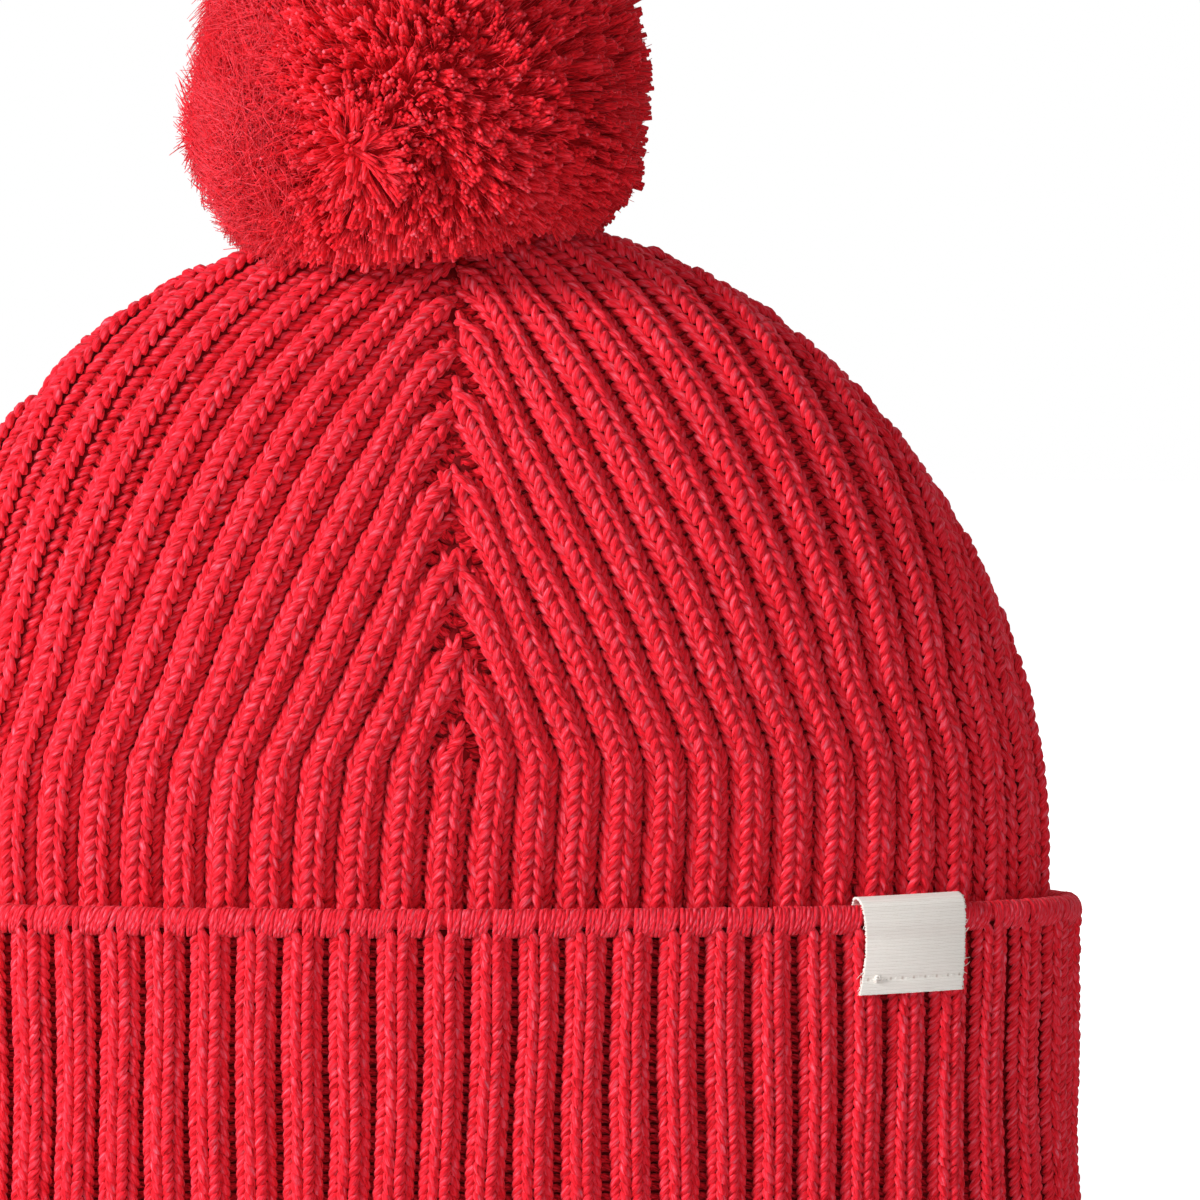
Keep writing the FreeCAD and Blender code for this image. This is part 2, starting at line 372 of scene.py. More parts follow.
def oval_ring(half_width: Array, half_depth: Array, around: int) -> tuple[Array, Array]:
    """Points at equal distances round ovals, counted from the front through the right.

    Args:
        half_width: Half widths along X, one per oval.
        half_depth: Half depths along Y.
        around: Number of points.

    Returns:
        Places and outward directions in the plane, ovals by points by two.
    """
    fine = np.linspace(-np.pi / 2, 1.5 * np.pi, 2049)
    places, outs = [], []
    for a, b in zip(half_width, half_depth):
        x, y = a * np.cos(fine), b * np.sin(fine)
        run = np.concatenate([[0], np.cumsum(np.hypot(np.diff(x), np.diff(y)))])
        angle = np.interp(np.arange(around) / around * run[-1], run, fine)
        places.append(np.stack([a * np.cos(angle), b * np.sin(angle)], -1))
        outs.append(unit(np.stack([b * np.cos(angle), a * np.sin(angle)], -1)))
    return np.stack(places), np.stack(outs)


@dataclass
class Rim:
    """One oval seen from above, looked up by the share of the way round."""

    half_width: float
    half_depth: float
    around: int = 2880
    girth: float = field(init=False)

    def __post_init__(self) -> None:
        """Lay out the oval."""
        places, outs = oval_ring([self.half_width], [self.half_depth], self.around)
        self.places, self.outs = places[0], outs[0]
        self.girth = np.linalg.norm(np.roll(self.places, -1, axis=0) - self.places, axis=-1).sum()

    def at(self, share: Array, inset: Array, height: Array) -> Array:
        """Places at shares of the way round, moved inwards from the oval, at heights.

        Args:
            share: Share of the way round, from the front through the right.
            inset: How far inwards.
            height: Height above the ground.

        Returns:
            The places, with x, y and z last.
        """
        spot = np.mod(share, 1.0) * self.around
        c0 = spot.astype(int) % self.around
        c1 = (c0 + 1) % self.around
        f = (spot - np.floor(spot))[..., None]
        flat = self.places[c0] * (1 - f) + self.places[c1] * f
        plan = flat - self.way(share) * np.asarray(inset)[..., None]
        return joined(plan[..., 0], plan[..., 1], height)

    def way(self, share: Array) -> Array:
        """Outward directions in the plane."""
        return self.outs[(np.mod(share, 1.0) * self.around).astype(int) % self.around]


@dataclass
class RibPath:
    """The line down the middle of one rib, with the directions across it, along it and out of the cloth."""

    centre: Array
    out: Array
    level: Array
    scale: Array
    share: Array
    up: Array = field(init=False)
    side: Array = field(init=False)
    run: Array = field(init=False)

    def __post_init__(self) -> None:
        """Work out the length and the directions."""
        steps = np.linalg.norm(np.diff(self.centre, axis=0), axis=-1)
        self.run = np.concatenate([[0.0], np.cumsum(steps)])
        self.up = unit(np.gradient(self.centre, axis=0))
        self.side = unit(np.cross(self.up, self.out))
        self.out = unit(np.cross(self.side, self.up))

    def frame_at(self, distance: Array) -> tuple[Array, Array, Array]:
        """Places, side directions and outward directions at distances along the rib."""
        spots = [
            joined(*[np.interp(distance, self.run, values[:, k]) for k in range(3)])
            for values in (self.centre, self.side, self.out)
        ]
        return spots[0], unit(spots[1]), unit(spots[2])


class Point(Enum):
    """Which way the V of a stitch points."""

    DOWN = 1
    UP = -1


@dataclass(frozen=True)
class Stitch:
    """Sizes of one knit stitch of the rib, in millimetres. Columns count from the rib's left flank."""

    row: float
    inner: float
    outer: float
    yarn: float
    rows_long: float
    lean: float
    arch: float
    heights: tuple[float, float, float, float]
    point: Point
    lap: float = 0.14
    sag: float = 0.45
    hollow: float = 0.35
    dots: int = 8
    sides: int = 6

    def middles(self) -> Array:
        """Distances of the four columns from the rib's middle."""
        return np.array([-self.outer, -self.inner, self.inner, self.outer])

    def legs(self, path: RibPath, rows: Array, sink: Array, rng: np.random.Generator) -> Strands:
        """Lay the legs of all stitches along a rib: four columns, two wales.

        Args:
            path: The rib's middle line.
            rows: Distances of the stitches along it.
            sink: How far each stitch column lies below the rib's face, rows by four, or NaN for no stitch.
            rng: Source of the small differences between stitches.

        Returns:
            The legs as yarn lengths.
        """
        way = np.array([-1.0, 1.0, -1.0, 1.0]) * self.point.value
        t = np.linspace(-0.5, 0.5, self.dots)
        number = (len(rows), 4)
        loose = rng.normal(0.0, 1.0, (5, *number, 1))
        along = rows[:, None, None] + t * self.row * self.rows_long * (1 + 0.05 * loose[0])
        along = along + 0.06 * loose[1]
        lean = way[:, None] * self.lean * (1 + 0.12 * loose[2])
        across = self.middles()[:, None] + lean * (t + 0.11 * np.sin(2 * np.pi * t)) + 0.05 * loose[3]
        scale = np.interp(along, path.run, path.scale)
        height = self.arch * np.cos(2 * np.pi * t * 0.82) - 2 * self.lap * self.point.value * t
        height = height + np.array(self.heights)[:, None] - sink[..., None] + 0.05 * loose[4]
        centre, side, out = path.frame_at(along)
        places = centre + side * (across * scale)[..., None] + out * height[..., None]
        keep = ~np.isnan(sink)
        places, out, scale = places[keep], out[keep], scale[keep]
        size = self.yarn * (0.60 + 0.40 * np.cos(np.pi * t) ** 0.7) * (0.55 + 0.45 * scale)
        size = size * (1 + 0.05 * rng.normal(0, 1, (len(places), 1)))
        # Painted shade: each leg is darker towards its ends, where it tucks under its neighbours, over a
        # random tone per leg.
        tint = 0.5 + 0.07 * rng.normal(0, 1, (len(places), 1)) + 0.20 * (np.cos(np.pi * t) - 0.55)
        return Strands(places, out, size, size * 0.92, np.clip(tint, 0, 1), self.sides)

    def rungs(
        self, path: RibPath, rows: Array, half: float, depth: Array, rng: np.random.Generator
    ) -> Strands:
        """Lay the short bars of yarn that cross a gap between two ribs, one each row.

        Args:
            path: The gap's middle line.
            rows: Distances of the bars along it.
            half: Half the length of a bar.
            depth: How far each bar lies below the rib's face.
            rng: Source of the small differences between bars.

        Returns:
            The bars as yarn lengths.
        """
        t = np.linspace(-1, 1, 5)
        along = rows[:, None] + self.point.value * self.sag * (t**2 - 0.5)
        along = along + 0.08 * rng.normal(0, 1, (len(rows), 1))
        centre, side, out = path.frame_at(along)
        height = self.hollow * (t**2 - 1) - depth[:, None] + self.hollow
        scale = np.interp(along, path.run, path.scale)
        places = centre + side * (half * t * scale)[..., None] + out * height[..., None]
        # Painted shade: the bars take a low tint, near the ramp's darkest colour, for the shade deep in the
        # gaps between the ribs.
        tint = np.clip(0.05 + 0.08 * rng.normal(0, 1, len(rows)), 0, 1)
        return Strands(places, out, self.row * 0.47, self.yarn * 0.75, tint, 5)


# --------------------------------------------------------------------------- finishes


class Nodes:
    """Short calls that add and join shader nodes."""

    def __init__(self, name: str) -> None:
        """Start a material with an output and a Principled shader.

        Args:
            name: The material's name.
        """
        self.material = bpy.data.materials.new(name)
        self.material.use_nodes = True
        self.tree = self.material.node_tree
        self.tree.nodes.clear()
        self.end = self.tree.nodes.new("ShaderNodeOutputMaterial")
        self.shader = self.tree.nodes.new("ShaderNodeBsdfPrincipled")
        self.tree.links.new(self.shader.outputs["BSDF"], self.end.inputs["Surface"])

    def add(self, kind: str, **settings: object) -> bpy.types.Node:
        """Add a node and set its properties.

        Args:
            kind: The node's type.
            **settings: Its properties by name.

        Returns:
            The node.
        """
        node = self.tree.nodes.new(kind)
        for key, value in settings.items():
            setattr(node, key, value)
        return node

    def spot(self) -> bpy.types.NodeSocket:
        """Places on the object."""
        return self.add("ShaderNodeTexCoord").outputs["Object"]

    def surface_map(self) -> tuple[bpy.types.NodeSocket, bpy.types.NodeSocket]:
        """Read the map in millimetres.

        Returns:
            The distance along the piece, and the one across or round it.
        """
        split = self.add("ShaderNodeSeparateXYZ")
        self.join(self.add("ShaderNodeUVMap", uv_map="Surface").outputs["UV"], split.inputs[0])
        return split.outputs[0], split.outputs[1]

    def colour(self, value: bpy.types.NodeSocket, stops: list[tuple[float, Colour]]) -> None:
        """Colour the surface by a ramp."""
        self.join(self.ramp(value, stops), self.shader.inputs["Base Color"])

    def join(self, source: bpy.types.NodeSocket, target: bpy.types.NodeSocket) -> None:
        """Link two sockets."""
        self.tree.links.new(source, target)

    def math(self, operation: str, first: object, second: object = 0.0) -> bpy.types.NodeSocket:
        """Add a Math node on sockets or numbers and return its result.

        Args:
            operation: What it works out.
            first: Its first socket or number.
            second: Its second one.

        Returns:
            The result's socket.
        """
        node = self.add("ShaderNodeMath", operation=operation)
        for socket, value in zip(node.inputs, (first, second)):
            if isinstance(value, bpy.types.NodeSocket):
                self.join(value, socket)
            else:
                socket.default_value = value
        return node.outputs[0]

    def total(self, *terms: tuple[bpy.types.NodeSocket, float]) -> bpy.types.NodeSocket:
        """Add up sockets, each times its weight.

        Args:
            *terms: Sockets with their weights.

        Returns:
            The sum's socket.
        """
        result = self.math("MULTIPLY", *terms[0])
        for socket, weight in terms[1:]:
            result = self.math("ADD", result, self.math("MULTIPLY", socket, weight))
        return result

    def place(self, *parts: bpy.types.NodeSocket) -> bpy.types.NodeSocket:
        """Join up to three numbers to a vector.

        Args:
            *parts: The sockets of the numbers.

        Returns:
            The vector's socket.
        """
        node = self.add("ShaderNodeCombineXYZ")
        for part, socket in zip(parts, node.inputs):
            self.join(part, socket)
        return node.outputs[0]

    def noise(self, vector: bpy.types.NodeSocket, scale: float, detail: float = 3.0) -> bpy.types.NodeSocket:
        """Add a noise texture and return its factor.

        Args:
            vector: Where it is looked up.
            scale: How fine it is.
            detail: How many octaves it has.

        Returns:
            The factor's socket.
        """
        node = self.add("ShaderNodeTexNoise")
        node.inputs["Scale"].default_value = scale
        node.inputs["Detail"].default_value = detail
        self.join(vector, node.inputs["Vector"])
        return node.outputs["Fac"]

    def ramp(self, value: bpy.types.NodeSocket, stops: list[tuple[float, Colour]]) -> bpy.types.NodeSocket:
        """Add a colour ramp with stops of place and colour.

        Args:
            value: What chooses the colour.
            stops: Places from 0 to 1 with their colours.

        Returns:
            The colour's socket.
        """
        node = self.add("ShaderNodeValToRGB")
        elements = node.color_ramp.elements
        while len(elements) < len(stops):
            elements.new(0.5)
        for element, (place, colour) in zip(elements, stops):
            element.position = place
            element.color = (*colour, 1.0)
        self.join(value, node.inputs["Fac"])
        return node.outputs["Color"]

    def bump(self, height: bpy.types.NodeSocket, strength: float, distance: float) -> None:
        """Raise the surface by a height between 0 and 1.

        Args:
            height: The socket of the height.
            strength: How much it counts.
            distance: The height of 1, in metres.
        """
        node = self.add("ShaderNodeBump")
        node.inputs["Strength"].default_value = strength
        node.inputs["Distance"].default_value = distance
        self.join(height, node.inputs["Height"])
        self.join(node.outputs["Normal"], self.shader.inputs["Normal"])

    def surface(self, roughness: float, sheen: float, tint: Colour = (1.0, 1.0, 1.0)) -> None:
        """Set how dull the surface is, and its bloom of loose fibres.

        Args:
            roughness: How dull it is.
            sheen: How much bloom it has.
            tint: The bloom's colour.
        """
        self.shader.inputs["Roughness"].default_value = roughness
        self.shader.inputs["Specular IOR Level"].default_value = 0.14
        self.shader.inputs["Sheen Weight"].default_value = sheen
        self.shader.inputs["Sheen Roughness"].default_value = 0.45
        self.shader.inputs["Sheen Tint"].default_value = (*tint, 1.0)


@dataclass(frozen=True)
class YarnFinish:
    """Plied acrylic yarn: twisted fibres with painted pink highlights, and painted shade between the plies.
    """

    name: str
    deep: Colour
    body: Colour
    rose: Colour
    light: Colour
    relief: float = 0.5
    lift: float = 0.0
    twist: tuple[float, float] = (2.7, 3.77)
    streak: tuple[float, float] = (2.3, 0.62)
    hair: tuple[float, float] = (6.5, 1.0)
    bloom: Colour = (1.0, 0.35, 0.42)

    def make(self) -> bpy.types.Material:
        """Build the material.

        Returns:
            The material.
        """
        n = Nodes(self.name)
        along, around = n.surface_map()
        tint = n.add("ShaderNodeAttribute", attribute_name="tint").outputs["Fac"]
        turn = n.total((along, self.twist[0]), (around, self.twist[1]))
        ply = n.math("ADD", n.math("MULTIPLY", n.math("SINE", turn), 0.5), 0.5)
        across = n.total((around, 1.0), (along, 0.35))
        streaks, hairs = (
            n.place(n.math("MULTIPLY", across, fine), n.math("MULTIPLY", along, coarse))
            for fine, coarse in (self.streak, self.hair)
        )
        fibre = n.noise(streaks, 1.0, 2.0)
        fine = n.noise(hairs, 1.0, 1.0)
        # Painted light: the ply wave darkens the grooves, the tint brings in the painted shade of the legs
        # and bars, and the light stop is a painted highlight.
        mix = n.total((fibre, 1.05), (fine, 0.50), (ply, 0.14), (tint, 0.36))
        mix = n.math("ADD", mix, self.lift - 0.53)
        n.colour(mix, [(0.16, self.deep), (0.43, self.body), (0.61, self.rose), (0.90, self.light)])
        n.surface(0.82, 0.12, self.bloom)
        n.bump(n.total((ply, 0.6), (fibre, 1.0), (fine, 0.6)), self.relief, 0.35 * MM)
        return n.material


@dataclass(frozen=True)
class ClothFinish:
    """The wrong side of the rib, seen between the ribs and inside the hat, coloured near black-red in painted
    shade.
    """

    name: str
    deep: Colour
    body: Colour
    grain: float = 900.0
    bloom: Colour = (1.0, 0.35, 0.42)

    def make(self) -> bpy.types.Material:
        """Build the material.

        Returns:
            The material.
        """
        n = Nodes(self.name)
        grain = n.noise(n.spot(), self.grain, 3.0)
        n.colour(grain, [(0.3, self.deep), (0.7, self.body)])
        n.surface(0.9, 0.1, self.bloom)
        n.bump(grain, 0.6, 0.5 * MM)
        return n.material


@dataclass(frozen=True)
class ThreadFinish:
    """Wound yarn on the CAD parts that stay showing: fine turns along one axis, with fibres, in painted shade
    far darker than the yarn's red.
    """

    name: str
    deep: Colour
    light: Colour
    turns: tuple[float, float, float] = (500.0, 500.0, 2600.0)
    tilt: tuple[float, float, float] = (0.35, 0.2, 0.0)

    def make(self) -> bpy.types.Material:
        """Build the material.

        Returns:
            The material.
        """
        n = Nodes(self.name)
        mapping = n.add("ShaderNodeMapping")
        n.join(n.spot(), mapping.inputs["Vector"])
        mapping.inputs["Scale"].default_value = self.turns
        mapping.inputs["Rotation"].default_value = self.tilt
        strands = n.noise(mapping.outputs[0], 1.0, 3.0)
        n.colour(strands, [(0.3, self.deep), (0.7, self.light)])
        n.surface(0.8, 0.1)
        n.bump(strands, 0.5, 0.3 * MM)
        return n.material


@dataclass(frozen=True)
class TapeFinish:
    """Undyed cotton tape in a plain weave, its needle holes and the dips between its threads darker in
    painted shade. Lengths in millimetres.
    """

    name: str
    hole: Colour
    shade: Colour
    thread: Colour
    seam: float
    hole_pitch: float
    weft: float = 0.40
    warp: float = 0.62
    hole_wide: float = 0.36
    slub: float = 420.0
    speck: float = 2600.0

    def threads(self, n: Nodes, count: bpy.types.NodeSocket) -> bpy.types.NodeSocket:
        """Round ridges, one to each whole number counted."""
        return n.math("ABSOLUTE", n.math("SINE", n.math("MULTIPLY", count, math.pi)))

    def make(self) -> bpy.types.Material:
        """Build the material.

        Returns:
            The material.
        """
        n = Nodes(self.name)
        spot = n.spot()
        along, across = n.surface_map()
        slub = n.noise(spot, self.slub, 3.0)
        speck = n.noise(spot, self.speck, 2.0)
        row = n.total((along, 1 / self.weft), (slub, 0.5))
        weft = self.threads(n, row)
        parity = n.math("MULTIPLY", n.math("FLOOR", row), 0.5)
        column = n.math("ADD", n.math("MULTIPLY", across, 1 / self.warp), parity)
        warp = self.threads(n, column)
        over = n.math("POWER", weft, 0.7)
        under = n.math("ADD", n.math("MULTIPLY", warp, 0.35), 0.65)
        weave = n.math("MULTIPLY", over, under)
        holes = n.math("FRACT", n.math("MULTIPLY", across, 1 / self.hole_pitch))
        lattice = n.math("SUBTRACT", holes, 0.5)
        aside = n.math("MULTIPLY", lattice, self.hole_pitch)
        up = n.math("SUBTRACT", along, self.seam)
        far = n.math("SQRT", n.math("ADD", n.math("MULTIPLY", aside, aside), n.math("MULTIPLY", up, up)))
        solid = n.math("MINIMUM", n.math("MULTIPLY", far, 1 / self.hole_wide), 1.0)
        woven = n.math("MULTIPLY", solid, n.total((slub, 0.16), (speck, 0.16), (weave, 0.50)))
        # Painted shade: the hole stop darkens the needle holes and the shade stop the dips between the
        # threads.
        n.colour(woven, [(0.0, self.hole), (0.14, self.shade), (0.42, self.thread)])
        n.surface(0.88, 0.3)
        n.bump(woven, 0.5, 0.18 * MM)
        return n.material


# The yarn's ramp: the deep stop is reached mostly through painted shade, and the light stop is a painted
# highlight of pale fibre sheen.
DEEP_RED = (0.22, 0.002, 0.004)
RED = (0.83, 0.0104, 0.0245)
ROSE_RED = (0.84, 0.034, 0.061)
HIGHLIGHT_RED = (0.84, 0.170, 0.235)
# The pom's colours are lighter than the hat's yarn, as painted light against the fibres' shade on each other,
# and its light stop is a painted highlight.
POM_DEEP, POM_RED = (0.34, 0.003, 0.006), (0.88, 0.010, 0.020)
POM_ROSE, POM_HIGHLIGHT = (0.90, 0.026, 0.044), (0.90, 0.160, 0.215)
# Painted shade: the packed yarn deep in the pom is coloured darker than its yarn, for the shade between the
# yarn ends.
PACKED_DEEP_SHADE, PACKED_SHADE_RED = (0.30, 0.003, 0.006), (0.64, 0.007, 0.014)
# Painted shade: the rib's wrong side, between the ribs and inside the hat, is coloured far darker than its
# red yarn.
SHADE_RED = (0.13, 0.002, 0.004)
RIB_BACK_SHADE_RED = (0.26, 0.003, 0.007)
# Painted shade: the wound yarn of the CAD parts left showing, far darker than the yarn's red.
THREAD_SHADE_RED = (0.35, 0.006, 0.014)
HOLE, TAPE_SHADE, TAPE = (0.34, 0.14, 0.12), (0.68, 0.62, 0.55), (0.97, 0.93, 0.87)


# --------------------------------------------------------------------------- cuff


@dataclass
class Cuff:
    """The turned-up cuff: the outer layer of rib, round its fold and a little way up inside."""

    ribs: int = 60
    sections: int = 6
    levels: int = 120
    around: int = 1440
    first: float = 0.83
    face_sunk: float = 0.80
    waist: float = 0.4
    waist_foot: float = 4.0
    back_deep: float = 1.3
    gap_deep: float = 4.2
    rung_deep: float = 3.6
    rung_half: float = 1.7
    inside: float = 5.0
    drift: float = 1.25
    drift_wide: float = 26.0
    path_points: int = 220
    seed: int = 11

    def __post_init__(self) -> None:
        """Read the CAD cuff's size and lay out the cloth."""
        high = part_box("cuff_fold")[1]
        self.half_width = high.x / MM
        self.half_depth = high.y / MM
        self.cloth_top = top_of("cuff_outer_layer")
        self.edge_top = top_of("cuff_welt")
        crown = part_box("crown_shell")[1].x / MM
        self.fold_round = (self.half_width - crown) / 2 + 1.7
        self.rng = np.random.default_rng(self.seed)
        self.stitch = Stitch(
            row=1.53, inner=0.84, outer=2.24, yarn=0.75, rows_long=1.8, lean=0.98, arch=0.44,
            heights=(-0.82, 0.08, 0.08, -1.00), point=Point.UP,
        )
        self.cloth = Cloth(self.lay_out())

    def waisting(self, height: Array) -> Array:
        """How far the cuff draws in at a height, between its edge and its fold."""
        share = np.clip((height - self.waist_foot) / (self.cloth_top - self.waist_foot), 0, 1)
        return self.waist * np.sin(np.pi * share**0.8) ** 1.2

    def lay_out(self) -> Array:
        """The rib's face as a grid, from inside up round the fold and up the outside to its edge.

        Returns:
            The places, rows by points round.
        """
        drop = self.cloth_top - self.fold_round
        turn = np.pi * self.fold_round
        run = np.linspace(0, drop + turn + self.inside, self.levels)
        angle = np.clip((run - drop) / self.fold_round, 0, np.pi)
        rise = np.clip(run - drop - turn, 0, None)
        height = self.cloth_top - np.clip(run, 0, drop) - self.fold_round * np.sin(angle) + rise
        inset = self.fold_round * (1 - np.cos(angle)) + self.waisting(height) * (angle < 1.0) + 0.25
        share = np.arange(self.around) / self.around
        rim = Rim(self.half_width, self.half_depth, self.around)
        grid = rim.at(share[None] + 0 * inset[:, None], inset[:, None] + 0 * share, height[:, None])
        return grid[::-1]

    def wander(self, along: Array, share: Array) -> Array:
        """How far a rib leans from upright, as a share of the way round.

        Args:
            along: Distance along the cloth.
            share: The rib's share of the way round.

        Returns:
            The lean.
        """
        girth = self.cloth.girth.max()
        drop = np.clip(1.15 * (1 - along / self.cloth.along[-1]), 0, 1)
        near = (np.mod(share + 0.5, 1.0) - 0.5) * girth
        lean = -self.drift * drop * bell(near / self.drift_wide)
        lean = lean + 0.35 * np.sin(2 * np.pi * (7 * share + 0.8 * drop)) * np.sin(np.pi * drop)
        return lean / girth

    def path(self, number: float) -> RibPath:
        """The middle line of a rib, or of the gap after it at half a rib more.

        Args:
            number: The rib's number.

        Returns:
            The line.
        """
        along = np.linspace(0, self.cloth.along[-1], self.path_points)
        share = (number + self.first) / self.ribs
        share = share + self.wander(along, np.full_like(along, share))
        centre, out = self.cloth.at(along, share)
        return RibPath(centre, out, along, np.ones_like(along), share)

    def knit(self, finish: bpy.types.Material) -> list[bpy.types.Object]:
        """The stitches of the outer layer, in sections.

        Args:
            finish: The yarn.

        Returns:
            The pieces.
        """
        pieces = []
        each = self.ribs // self.sections
        for section in range(self.sections):
            groups = []
            for number in range(section * each, (section + 1) * each):
                path = self.path(number)
                rows = np.arange(self.stitch.row * 0.5, path.run[-1] - 0.2, self.stitch.row)
                wave = 0.14 * np.sin(rows * 0.21 + number)[:, None] + np.zeros((1, 4))
                groups.append(self.stitch.legs(path, rows, self.face_sunk + wave, self.rng))
                gap = self.path(number + 0.5)
                depth = np.full(len(rows), self.rung_deep)
                groups.append(self.stitch.rungs(gap, rows, self.rung_half, depth, self.rng))
            pieces.append(strands_object(f"cuff_rib_stitches_{section + 1}", groups, finish))
        return pieces

    def backing(self, finish: bpy.types.Material) -> bpy.types.Object:
        """The cloth behind the stitches, deep between the ribs.

        Args:
            finish: Its finish.

        Returns:
            The piece.
        """
        samples, rows = self.ribs * 10, 64
        along = np.linspace(0, self.cloth.along[-1], rows)
        a, s = np.meshgrid(along, np.arange(samples) / samples, indexing="ij")
        rib = (s - self.wander(a, s)) * self.ribs - self.first
        phase = np.abs(np.mod(rib + 0.5, 1.0) - 0.5)
        depth = self.back_deep + (self.gap_deep - self.back_deep) * smooth_step((phase - 0.30) / 0.12)
        places, out = self.cloth.at(a, s)
        outer = places - out * depth[..., None]
        return shell_object("cuff_cloth_between_ribs", outer, places - out * (self.gap_deep + 0.7), finish)


@dataclass
class BoundEdge:
    """The edge along the top of the cuff: fine strands of yarn drawn over a cord and down onto the ribs."""

    cuff: Cuff
    strands_per_rib: int = 12
    yarn: float = 0.56
    roll: float = 1.6
    tail: float = 2.3
    gather: float = 0.84
    inset: float = 1.95
    over: float = 0.62
    cord_dots: int = 481
    seed: int = 23

    def strands(self) -> Strands:
        """The strands, in a fan over each gap between two ribs.

        Returns:
            The strands as yarn lengths.
        """
        rng = np.random.default_rng(self.seed)
        cuff = self.cuff
        rim = Rim(cuff.half_width, cuff.half_depth)
        pitch = rim.girth / cuff.ribs
        rib, slot = np.divmod(np.arange(cuff.ribs * self.strands_per_rib), self.strands_per_rib)
        place = (slot - (self.strands_per_rib - 1) / 2) / self.strands_per_rib
        t = np.linspace(0, 1, 15)
        turn = np.clip(t / self.over, 0, 1)
        tail = np.clip((t - self.over) / (1 - self.over), 0, 1)
        angle = np.pi * (1.25 - 1.25 * turn)
        core = cuff.edge_top - self.yarn - self.roll
        jitter = rng.normal(0, 1, (3, len(rib), 1))
        height = core + self.roll * np.sin(angle) - self.tail * tail - 0.25 * smooth_step(turn) * (1 - tail)
        inset = self.inset - self.roll * np.cos(angle) - 0.25 * np.sin(np.pi * tail) + 0.55 * tail**2
        inset = inset + 0.05 * jitter[0]
        fan = place[:, None] * (1 - (1 - self.gather) * smooth_step(t / 0.9))
        slant = 0.16 * (0.5 - t) * (1 + 0.3 * jitter[1])
        middle = (rib + cuff.first + 0.5)[:, None] / cuff.ribs
        share = middle + (fan + slant + 0.015 * jitter[2]) * pitch / rim.girth
        height = height - 0.25 * bell(place / 0.25)[:, None] * tail
        centre = rim.at(share, inset, height + 0.04 * jitter[1])
        heart = rim.at(share, self.inset + 0 * inset, np.where(tail > 0, height, core))
        size = self.yarn * (0.92 - 0.30 * tail) * (1 + 0.08 * jitter[0])
        # Painted shade and light: darker towards the strand's start behind and under the cord, lighter along
        # the tail out on the ribs, over a random tone.
        tint = 0.62 + 0.08 * jitter[2] + 0.05 * tail - 0.06 * (1 - turn)
        return Strands(centre, centre - heart, size, size * 0.85, np.clip(tint, 0, 1), 6)

    def cord(self) -> Strands:
        """The cord that the strands cover.

        Returns:
            The cord as one yarn length.
        """
        cuff = self.cuff
        share = np.arange(self.cord_dots) / (self.cord_dots - 1)
        level = cuff.edge_top - self.yarn - self.roll
        inset = np.full(self.cord_dots, self.inset)
        core = Rim(cuff.half_width, cuff.half_depth).at(share, inset, level)[None]
        upward = np.broadcast_to([0.0, 0.0, 1.0], core.shape)
        fat = self.roll - 0.1
        return Strands(core, upward, fat, fat, np.array([0.35]), 10)

    def make(self, finish: bpy.types.Material) -> bpy.types.Object:
        """Build the edge as one piece."""
        return strands_object("bound_edge", [self.strands(), self.cord()], finish)


# --------------------------------------------------------------------------- crown


@dataclass(frozen=True)
class Quarter:
    """A quarter of the crown between two darts. Its ribs count from the front or back one, in rib widths."""

    name: str
    start: float
    way: int
    first: float
    lost_at_start: float
    lost_at_side: float
    ribs: int = 15
    start_from: float = 11.0
    side_from: float = 18.0

    def span(self, line: Array) -> Array:
        """Share of the way round that the quarter takes from its first dart's line."""
        return QUARTER_ROUND - self.way * (line - self.start)

    def lost(self, degrees: Array) -> tuple[Array, Array]:
        """How many ribs the two darts have taken by an angle up the dome.

        Args:
            degrees: The angle up the dome.

        Returns:
            The ribs lost to the dart at the start and to the one at the side.
        """
        start = self.lost_at_start * np.clip(degrees - self.start_from, 0, None) / (90.0 - self.start_from)
        side = self.lost_at_side * np.clip(degrees - self.side_from, 0, None) / (90.0 - self.side_from)
        return start, side


